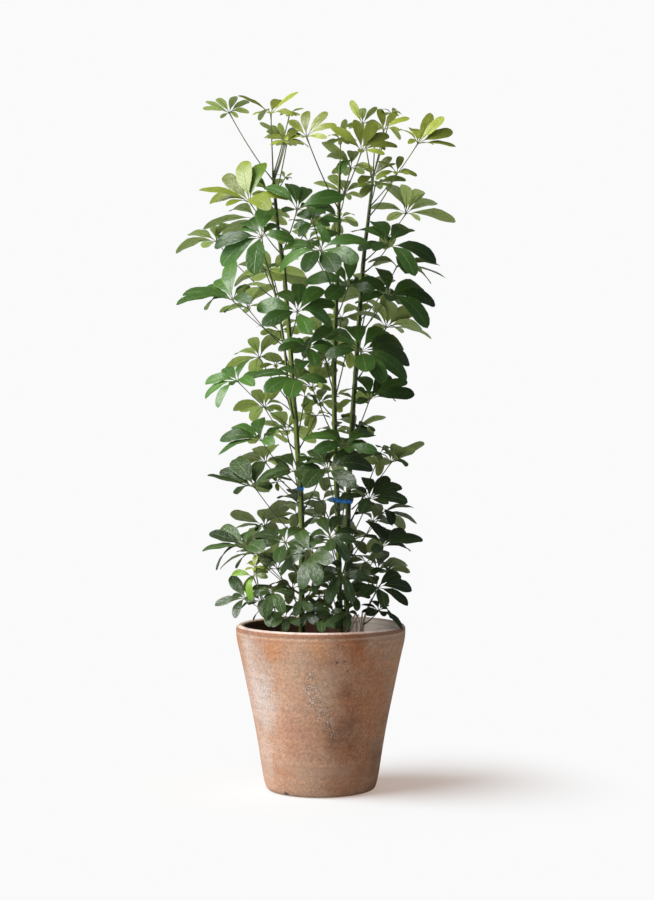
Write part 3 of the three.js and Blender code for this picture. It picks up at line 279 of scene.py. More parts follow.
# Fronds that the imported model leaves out, as small or half hidden among the others, in rows of the same kind
MORE_FRONDS = {
    "more_fronds_top": ("young_leaf", [
        ["sprig_1", "left_crown", 1048, [-63, -30, 1077], 20, 0.3, [[-14, 5], [12, 8], [4, -4], [-6, 12]]],
        ["sprig_5", "left_crown", 1070, [-62, 90, 1140], 42, 0.4, [[-26, 30], [-34, 20], [-12, 34]]],
        ["sprig_2", "right_crown", 1085, [124, 40, 1190], 28, 0.3, [[-20, 7], [-12, -3], [20, -2], [8, 9]]],
        [84, "right_crown", 1040, [92, -70, 1078], 50, 0.4,
            [[42, 24], [33, 36], [-16, 14], [-24, -12], [44, 2]]],
        [86, "left_crown", 990, [-92, 60, 1052], 52, 0.4, [[-40, 10], [-30, 30], [26, 22]]],
        [89, "left_crown", 930, [-24, 50, 986], 56, 0.4, [[-30, 16], [30, 20], [44, -4]]],
        [130, "middle_crown", 950, [24, 60, 998], 40, 0.4, [[0, -24], [14, -20], [-16, 8]]],
    ]),
    "more_fronds_middle": ("leaf", [
        [90, "middle", 880, [-22, 50, 965], 58, 0.4, [[-24, 20], [28, 16], [6, -14]]],
        [91, "right", 800, [98, 60, 845], 56, 0.4, [[-36, 10], [30, 24], [24, -16]]],
        [92, "left", 740, [-72, 40, 806], 56, 0.4, [[-40, 8], [30, 20], [-10, -24]]],
        [95, "middle", 760, [36, 60, 830], 60, 0.4, [[-30, 16], [30, 18], [4, -18]]],
        [96, "left", 650, [-64, 40, 704], 50, 0.4, [[-25, -19], [-20, -4], [20, 14]]],
        [98, "middle", 570, [21, 25, 628], 44, 0.4, [[-25, 4], [18, 9], [12, 18]]],
        [99, "left", 600, [-8, 30, 657], 42, 0.4, [[20, 3], [-12, -28], [-19, -19]]],
        [100, "right", 540, [56, 50, 592], 72, 0.4, [[-30, 10], [30, -24], [-6, -30], [40, 4]]],
        [101, "left", 540, [-22, -44, 584], 34, 0.5, [[-14, -8], [16, 8], [4, -16]]],
        [102, "middle", 700, [10, 60, 748], 56, 0.4, [[-30, 10], [30, 12], [-8, 24]]],
        [126, "left", 620, [-28, 60, 690], 50, 0.4, [[6, -34], [-8, 20], [20, -12]]],
        [127, "right", 640, [60, 50, 682], 44, 0.4, [[-34, 12], [-30, -14], [14, 14]]],
        [128, "middle", 690, [46, 60, 776], 44, 0.4, [[6, -36], [-18, -10], [24, -4]]],
        [129, "left", 680, [-80, 50, 746], 44, 0.4, [[-14, 22], [16, 4], [-10, -12]]],
        [125, "right", 470, [104, 50, 590], 46, 0.4, [[-4, -40], [-12, -20], [20, 10]]],
    ]),
    "more_fronds_low": ("dark_leaf", [
        ["sprig_3", "left", 505, [-77, -34, 538], 22, 0.4, [[-6, 12], [8, 8], [2, -14], [-10, -6]]],
        ["sprig_6", "low_left", 300, [-119, -70, 372], 44, 0.6, [[-3, -42], [-38, 6], [16, 20]]],
        [123, "left", 345, [-108, 40, 410], 72, 0.4, [[-70, -24], [-36, 8], [-40, -22], [20, -20]]],
        [124, "low_left", 285, [-106, -60, 330], 46, 0.6, [[-40, -20], [10, -30], [-16, 10]]],
        ["sprig_4", "low_left", 318, [-116, -54, 388], 28, 0.5, [[2, 24], [14, 16], [-10, 12]]],
        [104, "left", 490, [-2, 30, 546], 52, 0.4, [[-24, 12], [22, 14], [10, -22]]],
        [105, "middle", 450, [2, 40, 505], 56, 0.4, [[-24, 16], [30, 14], [-4, -22]]],
        [106, "middle", 370, [52, 20, 434], 60, 0.5, [[-20, 30], [26, -22], [-10, -34], [30, 14]]],
        [107, "right", 400, [92, 56, 470], 56, 0.4, [[-30, 12], [10, 30], [34, -8]]],
        [108, "left", 420, [-42, 44, 482], 50, 0.4, [[-20, 18], [24, 12], [-6, -24]]],
        [109, "left", 330, [-4, -64, 374], 50, 0.6, [[-26, 4], [22, -14], [-8, -28], [12, 20]]],
        [110, "middle", 300, [20, 50, 344], 62, 0.5, [[-34, 8], [34, 12], [-8, -26], [10, 30]]],
        [111, "right", 310, [62, 56, 366], 62, 0.5, [[-34, 10], [34, 10], [4, -30], [-10, 30]]],
        [112, "right", 340, [80, 36, 398], 54, 0.5, [[-36, 8], [30, 16], [-4, -26]]],
        [113, "left", 300, [-50, 40, 352], 60, 0.5, [[-34, 8], [30, 14], [-6, -28], [8, 28]]],
        [114, "low_left", 290, [-92, -62, 312], 44, 0.6, [[-26, -16], [24, -20], [2, -28], [-14, 18]]],
        [115, "low_left", 272, [-62, -84, 302], 42, 0.7, [[-24, -18], [24, -16], [0, -26], [8, 20]]],
        [116, "left", 290, [-38, -70, 330], 46, 0.7, [[-28, -6], [22, -18], [-6, -28], [14, 20]]],
        [117, "low_middle", 280, [0, -92, 296], 42, 0.7, [[-26, -10], [24, -14], [2, -22], [-8, 18]]],
        [118, "middle", 290, [44, -84, 306], 44, 0.7, [[-24, -14], [24, -12], [4, -24], [10, 20]]],
        [119, "middle", 300, [58, -64, 340], 46, 0.6, [[-28, -8], [24, 6], [6, -28], [-6, 22]]],
        [121, "middle", 440, [44, 50, 520], 56, 0.4, [[-28, 12], [28, 10], [4, -22]]],
        [122, "left", 360, [-20, 40, 420], 56, 0.4, [[-30, 8], [28, 12], [-4, -26]]],
    ]),
}
MOST_MORE_LEAFLETS = 5
MORE_FIRST_SEED = 200

# Bare pale stalks by the right stem, each from its foot to its top
BARE_STALK_RADIUS = 0.0015
BARE_STALKS = [
    [[62, -46, 246], [63, -52, 300]],
    [[66, -44, 246], [73, -50, 318]],
    [[26, -46, 246], [60, -52, 312]],
    [[31, -42, 246], [66, -48, 311]],
]

# How yellow a frond is, by the height of its hub, and those that differ from their neighbours
YOUTH_BY_HEIGHT = [[0, 0.0], [560, 0.02], [700, 0.05], [860, 0.1], [960, 0.2], [1030, 0.45], [1110, 0.85],
                   [1240, 1.0]]
YOUTH_OF = {"sprig_6": 0.5, "sprig_3": 1.0, "sprig_4": 0.7, 8: 0.75, 13: 0.25, 15: 0.68, 19: 0.3, 67: 0.3,
            68: 0.35}

# Vivid young leaflets, each [across, up, reach] as seen on the pot's axis
BRIGHT_LEAFLETS = [[-97, 1075, 18], [-121, 351, 9], [-138, 375, 8]]

# Where along a leaflet its rings lie, and the outline of its blade as [share of length, share of half width]
BLADE_SHARES = (0.12, 0.2, 0.3, 0.42, 0.56, 0.7, 0.82, 0.91, 0.97, 1.0)
BLADE_OUTLINE = [[0.0, 0.03], [0.13, 0.05], [0.22, 0.2], [0.32, 0.46], [0.45, 0.76], [0.6, 0.97],
                 [0.74, 1.0], [0.86, 0.86], [0.94, 0.62], [0.985, 0.3], [1.0, 0.06]]

# The angle in radians from which an edge stays sharp, as at a blade's rim
RIM_ANGLE = 1.0

# Where along a leaflet its midrib's rings lie, and their radii as shares of the petiole's at its hub
RIB_SHARES = (0.0, 0.06, 0.13, 0.3, 0.5, 0.7, 0.86)
RIB_SIZES = (1.1, 0.75, 0.7, 0.6, 0.45, 0.3, 0.12)

# Steps along a petiole, and how fast its swellings fade away from its foot and from its hub
STALK_STEPS = 12
FOOT_SWELLING_FADE = 18
HUB_SWELLING_FADE = 26
HUB_SWELLING_SHARE = 0.7

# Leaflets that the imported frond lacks: how many and in how wide a gap, and how far they droop and reach
MOST_LEAFLETS = 8
BARE_GAP = 1.0
ADDED_DROOP_SPREAD = 0.5
ADDED_SHARE = 0.68
ADDED_SPREAD = 0.12

# How brown each stem is, and pale where less than nothing
STEM_TINT = {
    "left": 0.05, "left_crown": 0.95, "middle": 0.58, "middle_crown": 0.8, "right": 0.8, "right_crown": 1.0,
    "side": 0.4, "low_left": 0.1, "low_right": -1.0, "low_middle": 0.1,
}

# Leaf scars round the stems, and the step of a stem's rings
SCAR_SPACING = 34
SCAR_SPREAD = 0.35
SCAR_WIDTH = 2.6
SCAR_SWELLING = 0.13
STEM_STEP = 3

BLADE, STALK, STEM = 0, 1, 2

# The leaves' finish in the material slots where it isn't the grown leaf's
LEAF_FINISHES = {"young_leaf": "Young leaf", "dark_leaf": "Deep leaf"}

# Tapes, each with its stems, the height it is wound at, its width and the length of its free end, and how a
# tape is wound: how far off the stems, how far it sags and slopes, and what its second turn and free end do
TIES = {
    "tie_upper": (["left"], 530, 6, 0),
    "tie_pair": (["middle", "right"], 509, 7, 16),
    "tie_lower": (["left"], 326, 6, 0),
}
TAPE_TURNS = 2
TAPE_STEPS = 12
TAPE_GAP = 0.6
TAPE_SAG = 0.5
TAPE_SLOPE = 0.17
TURN_GAP = 0.55
TURN_DROP = 0.8
TAIL_LIFT = (-2, 3)
TAIL_STEPS = (0.35, 0.7, 1)

# Drain holes, in metres: where they stand round the axis, and the drills that cut them
DRAIN_HOLES = 3
DRAIN_CIRCLE = 0.05
DRAIN_RADIUS = 0.007
DRILL_LENGTH = 0.06
DRILL_HEIGHT = 0.008
DRILL_SIDES = 24

# The soil: its segments round the axis, its foot, its wall, each [radius, height], its rim, and how it
# crowns, each drop below the top of the packed soil
SOIL_SEGMENTS = 72
SOIL_FOOT = 83
SOIL_WALL = [[88, 32], [103, 123], [126.5, 237]]
SOIL_RADIUS = 127
SOIL_RIM_DROP = 3
SOIL_CROWN = 1.6
SOIL_CROWN_WIDTH = 90
SOIL_CROWN_DROP = 2.6

# The disc that the crumbs are strewn over: its sides, the radii of its rings and how low its two faces lie
CRUMB_SEGMENTS = 48
CRUMB_RINGS = (0, 40, 80, 123)
CRUMB_DROP = 3
CRUMB_BED_DROP = 3.2

# In metres: the height from which the soil is uneven, and how far it swells there
SOIL_SURFACE_LOW = 0.243
SOIL_SWELL = 0.0007

# Flushes and stains of the clay as seen from the front, each [across, up, radius, share of its colour,
# ragged, stretch up, colour name]
CLAY_PATCHES = [
    [-111, 170, 58, 0.85, 0.3, 0.5, "pale_bloom"],
    [-94, 140, 36, 0.45, 0.45, 0.7, "pale_bloom"],
    [-128, 258, 30, 0.6, 0.3, 0.9, "pale_bloom"],
    [-98, 56, 46, 0.35, 0.4, 0.7, "pale_bloom"],
    [-37, 215, 44, 0.5, 0.4, 0.9, "beige_bloom"],
    [16, 176, 42, 0.3, 0.5, 0.8, "beige_bloom"],
    [132, 216, 28, 0.5, 0.3, 0.4, "orange_flush"],
    [42, 36, 60, 0.6, 0.4, 1.6, "beige_bloom"],
    [-40, 34, 46, 0.45, 0.5, 1.3, "beige_bloom"],
    [-62, 152, 26, 0.5, 0.5, 0.9, "beige_bloom"],
    [-85, 240, 24, 0.85, 0.35, 0.8, "orange_flush"],
    [-4, 246, 28, 0.75, 0.4, 0.8, "orange_flush"],
    [70, 236, 34, 0.85, 0.4, 0.8, "red_flush"],
    [60, 260, 38, 0.8, 0.3, 1.5, "red_flush"],
    [74, 262, 24, 0.35, 0.3, 1.5, "dark_stain"],
    [40, 64, 34, 0.5, 0.4, 1.1, "red_flush"],
    [98, 190, 56, 0.75, 0.35, 0.6, "red_flush"],
    [90, 118, 56, 0.75, 0.35, 0.7, "red_flush"],
    [48, 150, 40, 0.5, 0.4, 0.7, "red_flush"],
    [80, 50, 46, 0.6, 0.4, 0.9, "red_flush"],
    [-24, 192, 22, 0.35, 0.5, 1.2, "orange_flush"],
    [-52, 104, 48, 0.6, 0.4, 0.8, "pink_flush"],
    [-28, 78, 38, 0.5, 0.4, 0.9, "pink_flush"],
    [44, 98, 50, 0.5, 0.5, 0.8, "dark_stain"],
    [56, 118, 20, 0.4, 0.5, 0.8, "dark_stain"],
    [22, 82, 30, 0.35, 0.5, 1.1, "dark_stain"],
    [92, 56, 34, 0.5, 0.6, 0.9, "dark_stain"],
    [46, 172, 16, 0.45, 0.5, 0.8, "dark_stain"],
    [28, 221, 4, 0.9, 0.25, 1.0, "pit"],
    [42, 223, 4, 0.9, 0.25, 1.4, "pit"],
    [47, 207, 3, 0.8, 0.25, 1.0, "pit"],
    [30, 252, 3, 0.9, 0.25, 1.6, "pit"],
    [40, 250, 2.4, 0.8, 0.25, 1.0, "pit"],
    [-61, -10, 8, 1.0, 0.25, 1.6, "pit"],
]

# The radius up to which a spot is a chip with an even edge
SMALLEST_PATCH = 10

# Crazed spots of the clay, each [across, up, radius]
CRAZED_SPOTS = [[-18, 196, 14], [-18, 172, 20], [-8, 152, 19], [5, 132, 17], [15, 112, 15], [21, 97, 11]]

# Scratches round the pot, each [height, half its width, how dark], in metres
SCRATCHES = [[0.0555, 0.001, 0.3], [0.0195, 0.001, 0.3], [0.2745, 0.0012, 0.35], [0.046, 0.008, 0.22]]

# The height in metres of the ledge under the pot's rolled lip
LEDGE_HEIGHT = 0.2782


# Stems and fronds

def draws_from(seed):
    state = seed

    def draw():
        nonlocal state
        state = (state * DRAW_FACTOR) % DRAW_RANGE
        return state / DRAW_RANGE

    return draw


def either_way(draw):
    return 2 * draw() - 1


def seen(across, depth, up):
    """A point seen across and up on the pot's axis, moved to its depth along the line of sight."""
    share = 1 - depth / EYE[1]
    return Vector((EYE[0] + (across - EYE[0]) * share, depth, EYE[2] + (up - EYE[2]) * share))


def stem_at(name, height):
    """The centre and the radius of a stem at a height."""
    rings = STEMS[name]
    for low, high in zip(rings, rings[1:]):
        if height <= high[2] or high is rings[-1]:
            share = (height - low[2]) / (high[2] - low[2])
            centre = Vector(low[:3]).lerp(Vector(high[:3]), share)
            return centre, low[3] + (high[3] - low[3]) * share
    return None


def bezier(start, bend, end, share):
    back = 1 - share
    return start * back * back + bend * 2 * back * share + end * share * share


def bezier_tangent(start, bend, end, share):
    return ((bend - start) * (1 - share) + (end - bend) * share).normalized()


def face_axes(facing):
    right = (Vector((1, 0, 0)) - facing * facing.x).normalized()
    return right, facing.cross(right)


def widest_gap(bearings):
    """How wide the widest gap between bearings is, and where its middle lies."""
    order = sorted(bearings)
    best = (0.0, 0.0)
    for here, after in zip(order, order[1:] + [order[0] + 2 * math.pi]):
        if after - here > best[0]:
            best = (after - here, (after + here) / 2)
    return best


def share_by_height(height, table):
    for (low, start), (high, end) in zip(table, table[1:]):
        if height <= high:
            return start + (end - start) * (height - low) / (high - low)
    return table[-1][1]


class Frond:
    """A whorl of leaflets on its petiole, with the face and the reach that its row gives."""

    def __init__(self, row, number):
        self.name, self.stem, self.foot, self.place, self.reach, lean, self.offsets = row
        self.hub = seen(*self.place)
        outward = self.hub - stem_at(self.stem, self.foot)[0]
        outward.z = 0
        self.facing = (outward.normalized() * lean + Vector((0, 0, 1))).normalized()
        self.draw = draws_from(number + 1)
        self.youth = YOUTH_OF.get(self.name, share_by_height(self.hub.z, YOUTH_BY_HEIGHT))
        self.leaflets = []

    def bearing(self, tip):
        right, over = face_axes(self.facing)
        arm = tip - self.hub
        return math.atan2(arm.dot(over), arm.dot(right))

    def arm_at(self, bearing):
        right, over = face_axes(self.facing)
        return right * math.cos(bearing) + over * math.sin(bearing)

    def level_arm(self, bearing, droop):
        """A direction for a leaflet that fills a gap: round the face, but hardly below the hub."""
        arm = (self.arm_at(bearing) - self.facing * droop).normalized()
        arm.z = max(arm.z, FILL_LOWEST)
        return arm.normalized()

    def petiole(self, trial):
        """The petiole's three control points, its bend moved a little further with each trial."""
        centre, radius = stem_at(self.stem, self.foot)
        outward = self.hub - centre
        rise = outward.normalized()
        outward.z = 0
        outward.normalize()
        slant = math.sqrt(1 - rise.dot(outward) ** 2)
        clear = 0 if self.stem in LEAFY_STEMS else radius + GAP + PETIOLE_FOOT_RADIUS * slant
        start = centre + outward * clear
        across = Vector((0, 0, 1)).cross(outward)
        move = PETIOLE_STEP * math.sqrt(trial)
        turn = trial * GOLDEN_ANGLE
        bend = (start + self.hub) * 0.5 + Vector((0, 0, -2 * PETIOLE_SAG * (self.hub - start).length))
        bend += across * (move * math.cos(turn)) + outward.cross(across) * (move * math.sin(turn))
        return start, bend, self.hub

    def off_droop(self, tip):
        """How far above or below its usual droop a leaflet's tip is."""
        return abs((tip - self.hub).dot(self.facing) + DROOP_SHARE * self.reach)

    def tips(self):
        """The tips of the leaflets seen, then those that fill the widest gaps between them."""
        tips = []
        across, depth, up = self.place
        for right, rise in self.offsets:
            flat = right * right + rise * rise
            deep = math.sqrt(max(self.reach ** 2 - flat, (LEAST_DEPTH_SHARE * self.reach) ** 2))
            both = [seen(across + right, depth + away, up + rise) for away in (-deep, deep)]
            tips.append(min(both, key=self.off_droop))
        width, middle = widest_gap([self.bearing(tip) for tip in tips])
        while width > WIDEST_GAP or (len(tips) < FEWEST_LEAFLETS and width > NARROWEST_GAP):
            arm = self.level_arm(middle, DROOP_SHARE)
            tips.append(self.hub + arm * (self.reach * FILL_SHARE))
            width, middle = widest_gap([self.bearing(tip) for tip in tips])
        return tips

    def moved(self, tip, trial):
        """A leaflet's tip turned round its hub, a little further with each trial."""
        arm = tip - self.hub
        length = arm.length
        sideways = arm.cross(Vector((0, 1, 0)))
        if sideways.length < 0.1 * length:
            sideways = Vector((1, 0, 0))
        sideways.normalize()
        inward = sideways.cross(arm).normalized()
        turn = trial * GOLDEN_ANGLE
        move = LEAFLET_STEP * math.sqrt(trial)
        arm += sideways * (move * math.cos(turn)) + inward * (DEPTH_FAVOUR * move * math.sin(turn))
        return self.hub + arm.normalized() * length


class PackedPoints:
    """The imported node's corners, to find where its leaflets and petiole were set."""

    def __init__(self, node):
        vertices = frame["nodes"][node].data.vertices
        self.tree = kdtree.KDTree(len(vertices))
        for number, vertex in enumerate(vertices):
            self.tree.insert(vertex.co / MM, number)
        self.tree.balance()

    def at_distance(self, point, distance):
        found = self.tree.find_range(point, distance + MATCH)
        return [where for where, _, away in found if abs(away - distance) < MATCH]


def leaf_shape(frond):
    """A leaflet's turn to the viewer, the rise of its crest, and its width as a share of its length."""
    turn = frond.draw()
    rise = RISE * (1 + RISE_SPREAD * either_way(frond.draw))
    share = TOP_WIDTH_SHARE if frond.hub.z > TOP_LEVEL else LEAFLET_WIDTH_SHARE
    return turn, rise, share * (1 + WIDTH_SPREAD * either_way(frond.draw))


def blade_twist(hub, level, across, turn):
    """How far a blade is rolled: upper face to the viewer at the front, underside high at the back."""
    sight = (Vector(EYE) - hub).normalized()
    shown = 1 if level.dot(sight) - hub.y / FRONT_REACH > 0 else -1
    return shown * across.dot(sight) * TWIST_MOST * turn


def packed_tip(frond, tip, packed):
    """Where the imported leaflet's tip was set, or nothing where that leaflet was left out."""
    for trial in range(LEAFLET_TRIALS if packed else 0):
        moved = frond.moved(tip, trial)
        if packed.at_distance(moved, BLADE_THICKNESS / 2):
            return moved
    return None


def set_leaflets(frond, packed):
    """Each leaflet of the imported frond, then those that it lacks, evenly round the whorl."""
    for tip in frond.tips():
        shape = leaf_shape(frond)
        end = packed_tip(frond, tip, packed)
        if end is None:
            away = [frond.bearing(tip) - leaflet[1] for leaflet in frond.leaflets]
            if any(abs(math.remainder(turn, 2 * math.pi)) < LEAST_BEARING for turn in away):
                continue
            end = tip
        frond.leaflets.append((end, frond.bearing(end), shape))
    width, middle = widest_gap([leaflet[1] for leaflet in frond.leaflets])
    most = MOST_LEAFLETS if packed else MOST_MORE_LEAFLETS
    while len(frond.leaflets) < most and width > BARE_GAP:
        shape = leaf_shape(frond)
        arm = frond.level_arm(middle, DROOP_SHARE * (1 + ADDED_DROOP_SPREAD * either_way(frond.draw)))
        length = frond.reach * (ADDED_SHARE + ADDED_SPREAD * either_way(frond.draw))
        frond.leaflets.append((frond.hub + arm * length, middle, shape))
        width, middle = widest_gap([leaflet[1] for leaflet in frond.leaflets])


def leaf_arch(frond, tip, bearing, shape):
    """The midrib's three control points, how the blade rolls along it, and half the blade's width."""
    turn, rise, width = shape
    length = (tip - frond.hub).length
    along = (tip - frond.hub).normalized()
    outward = frond.arm_at(bearing)
    level = outward.cross(frond.facing).cross(along).normalized()
    across = along.cross(level)
    twist = blade_twist(frond.hub, level, across, turn)
    slope = rise + RISE_SHARE * math.asin(max(-1, min(1, along.dot(frond.facing))))
    half = length / 2
    crest = frond.hub + outward * (half * math.cos(slope)) + frond.facing * (half * math.sin(slope))
    return (frond.hub, crest, tip), (along, level, across, twist), width * half


def side_at(rolled, share):
    """The direction across a blade, which rolls from level at its petiolule to its full twist."""
    along, level, across, twist = rolled
    roll = twist * max(0.0, min(1.0, (share - ROLL_START) / (ROLL_END - ROLL_START)))
    return along.cross(level * math.cos(roll) + across * math.sin(roll))


class Paths:
    """Midribs, stalks and stems gathered as edges, with what each point carries for its sweep and finish."""

    SCALARS = ("reach", "along", "tone", "youth", "bright", "scar", "tint")

    def __init__(self):
        self.points = []
        self.edges = []
        self.kinds = []
        self.sides = []
        self.scalars = {name: [] for name in self.SCALARS}

    def add(self, kind, points, sides=None, **scalars):
        first = len(self.points)
        count = len(points)
        self.points += [point * MM for point in points]
        self.edges += [(first + i, first + i + 1) for i in range(count - 1)]
        self.kinds += [kind] * count
        self.sides += sides or [Vector((1, 0, 0))] * count
        for name in self.SCALARS:
            value = scalars.get(name, 0.0)
            self.scalars[name] += list(value) if isinstance(value, (list, tuple)) else [value] * count

    def mesh(self, name):
        mesh = bpy.data.meshes.new(name)
        mesh.from_pydata(self.points, self.edges, [])
        mesh.attributes.new("kind", "INT", "POINT").data.foreach_set("value", self.kinds)
        sides = [number for side in self.sides for number in side]
        mesh.attributes.new("side", "FLOAT_VECTOR", "POINT").data.foreach_set("vector", sides)
        for label, values in self.scalars.items():
            mesh.attributes.new(label, "FLOAT", "POINT").data.foreach_set("value", values)
        return mesh


def brightness_at(frond, tip):
    """Whether a leaflet is one of the vivid young ones, by where its middle is seen."""
    middle = (frond.hub + tip) / 2
    share = EYE[1] / (EYE[1] - middle.y)
    across = EYE[0] + (middle.x - EYE[0]) * share
    up = EYE[2] + (middle.z - EYE[2]) * share
    return 1.0 if any(math.hypot(across - x, up - z) < reach for x, z, reach in BRIGHT_LEAFLETS) else 0.0


def petiole_radii(steps, settings):
    """A petiole's radius from foot to hub, with a swelling at each end."""
    radii = []
    for share in steps:
        radius = settings.petiole_foot + (settings.petiole_hub - settings.petiole_foot) * share
        swelling = math.exp(-share * FOOT_SWELLING_FADE)
        swelling += HUB_SWELLING_SHARE * math.exp(-(1 - share) * HUB_SWELLING_FADE)
        radii.append(radius + settings.petiole_swelling * swelling)
    return radii


def add_frond(paths, frond, packed, settings):
    set_leaflets(frond, packed)
    curve = find_petiole(frond, packed) if packed else frond.petiole(0)
    steps = [i / STALK_STEPS for i in range(STALK_STEPS + 1)]
    paths.add(STALK, [bezier(*curve, share) for share in steps], reach=petiole_radii(steps, settings),
              along=steps, tone=frond.draw(), youth=frond.youth)
    for tip, bearing, shape in frond.leaflets:
        arch, rolled, half = leaf_arch(frond, tip, bearing, shape)
        tone = frond.draw()
        bright = brightness_at(frond, tip)
        points = [bezier(*arch, share) for share in BLADE_SHARES]
        sides = []
        for share in BLADE_SHARES:
            tangent = bezier_tangent(*arch, share)
            side = side_at(rolled, share)
            sides.append(-(side - tangent * side.dot(tangent)).normalized())
        paths.add(BLADE, points, sides, reach=half * MM, along=BLADE_SHARES, tone=tone, youth=frond.youth,
                  bright=bright)
        rib = [bezier(*arch, share) for share in RIB_SHARES]
        paths.add(STALK, rib, reach=[settings.petiole_hub * size for size in RIB_SIZES], along=1.0, tone=tone,
                  youth=max(frond.youth, bright))


def find_petiole(frond, packed):
    """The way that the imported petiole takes, told by the ring at its first step of two or three."""
    for steps in (3, 2) if petiole_length(frond.petiole(0)) > LONG_PETIOLE else (2, 3):
        share = 1 / steps
        radius = PETIOLE_FOOT_RADIUS + (PETIOLE_HUB_RADIUS - PETIOLE_FOOT_RADIUS) * share
        for trial in range(PETIOLE_TRIALS):
            curve = frond.petiole(trial)
            if len(packed.at_distance(bezier(*curve, share), radius)) >= PETIOLE_SIDES:
                return curve
    print("no packed petiole found for frond", frond.name)
    return frond.petiole(0)


def petiole_length(curve):
    points = [bezier(*curve, i / 20) for i in range(21)]
    return sum((after - before).length for before, after in zip(points, points[1:]))


def smooth_rings(rings, step):
    """A stem's centre line and radius on one smooth curve through its rings."""
    points = [Vector(ring) for ring in rings]
    ends = [points[0] * 2 - points[1], *points, points[-1] * 2 - points[-2]]
    line = []
    for before, here, after, beyond in zip(ends, ends[1:], ends[2:], ends[3:]):
        count = max(2, int((after.xyz - here.xyz).length / step))
        for i in range(count):
            t = i / count
            bent = before * 2 - here * 5 + after * 4 - beyond
            wrung = here * 3 - before - after * 3 + beyond
            line.append(0.5 * (here * 2 + (after - before) * t + bent * t * t + wrung * t ** 3))
    return line + [points[-1]]


def add_stem(paths, name):
    line = smooth_rings(STEMS[name], STEM_STEP)
    draw = draws_from(sum(ord(letter) for letter in name))
    height = line[0].z + SCAR_SPACING * draw()
    scars = []
    while height < line[-1].z:
        scars.append(height)
        height += SCAR_SPACING * (1 + SCAR_SPREAD * either_way(draw))
    marks = []
    for point in line:
        marks.append(max([math.exp(-(((point.z - scar) / SCAR_WIDTH) ** 2)) for scar in scars] + [0.0]))
    radii = [point.w * MM * (1 + SCAR_SWELLING * mark) for point, mark in zip(line, marks)]
    count = len(line)
    paths.add(STEM, [point.xyz for point in line], reach=radii, along=[i / count for i in range(count)],
              scar=marks, tint=STEM_TINT[name])


def wound(stems, level, tail):
    """Where a tape runs, twice round its stems and then along its free end."""
    centres = [stem_at(name, level) for name in stems]
    (first, first_radius), (last, last_radius) = centres[0], centres[-1]
    heading = math.atan2(last.y - first.y, last.x - first.x)
    points = []
    for turn in range(TAPE_TURNS):
        for centre, radius, begin in ((last, last_radius, heading - math.pi / 2),
                                      (first, first_radius, heading + math.pi / 2)):
            up = level - TAPE_SLOPE * (centre.x - first.x) - TURN_DROP * turn
            away = radius + TAPE_GAP + TURN_GAP * turn
            for i in range(TAPE_STEPS + 1):
                angle = begin + i / TAPE_STEPS * math.pi
                points.append(Vector((centre.x + away * math.cos(angle), centre.y + away * math.sin(angle),
                                      up + TAPE_SAG * math.sin(angle * 2 + turn))))
    if tail:
        end = points[-1]
        points += [end + Vector((-tail, *TAIL_LIFT)) * share for share in TAIL_STEPS]
    return points


# Node trees

SOCKETS = {float: "NodeSocketFloat", int: "NodeSocketInt", tuple: "NodeSocketVector"}


def new_tree(name, kind, inputs, outputs):
    """A node group, each of its sockets given by its starting value or, in a word, its type."""
    tree = bpy.data.node_groups.new(name, kind)
    for label, value in inputs.items():
        socket = SOCKETS.get(type(value), f"NodeSocket{value}")
        made = tree.interface.new_socket(label, in_out="INPUT", socket_type=socket)
        if not isinstance(value, str):
            made.default_value = value
    for label, value in outputs.items():
        tree.interface.new_socket(label, in_out="OUTPUT", socket_type=f"NodeSocket{value}")
    return tree, tree.nodes.new("NodeGroupInput").outputs, tree.nodes.new("NodeGroupOutput")


def is_socket(value):
    return isinstance(value, bpy.types.NodeSocket)


def feed(node, inputs):
    for key, value in inputs.items():
        if is_socket(value):
            node.id_data.links.new(value, node.inputs[key])
        else:
            node.inputs[key].default_value = value


def add_node(tree, kind, inputs=None, **settings):
    made = tree.nodes.new(kind)
    for label, value in settings.items():
        setattr(made, label, value)
    feed(made, inputs or {})
    return made


def output_of(tree, kind, inputs=None, **settings):
    return add_node(tree, kind, inputs, **settings).outputs[0]


def tree_of(values):
    return next(value.id_data for value in values if is_socket(value))


def maths(operation, kind="ShaderNodeMath"):
    """A function that adds a node for an operation to the tree that its values come from."""
    def node(*values):
        return output_of(tree_of(values), kind, dict(enumerate(values)), operation=operation)

    return node


plus, minus, times, divided, times_plus, larger, above, absolute, sine = (
    maths(operation) for operation in ("ADD", "SUBTRACT", "MULTIPLY", "DIVIDE", "MULTIPLY_ADD", "MAXIMUM",
                                       "GREATER_THAN", "ABSOLUTE", "SINE"))
vector_minus = maths("SUBTRACT", "ShaderNodeVectorMath")
vector_times = maths("MULTIPLY", "ShaderNodeVectorMath")


def length_of(vector):
    return add_node(vector.id_data, "ShaderNodeVectorMath", {0: vector}, operation="LENGTH").outputs["Value"]


def parts_of(vector):
    return add_node(vector.id_data, "ShaderNodeSeparateXYZ", {0: vector}).outputs


def mapped(value, low, high, start=0.0, end=1.0):
    return output_of(value.id_data, "ShaderNodeMapRange", {"Value": value, "From Min": low, "From Max": high,
                                                           "To Min": start, "To Max": end},
                     interpolation_type="SMOOTHSTEP")


def mixed(factor, first, second, blend="MIX"):
    """A colour between two, each a socket or three numbers."""
    first, second = (colour if is_socket(colour) else (*colour, 1) for colour in (first, second))
    return add_node(factor.id_data, "ShaderNodeMix", {0: factor, 6: first, 7: second}, data_type="RGBA",
                    blend_type=blend).outputs[2]


def stained(colour, stain, mask, share):
    return mixed(times(mask, share), colour, stain)


def scaled(colour, level):
    """A colour made lighter or darker."""
    grey = output_of(level.id_data, "ShaderNodeCombineXYZ", {0: level, 1: level, 2: level})
    return vector_times(colour, grey)


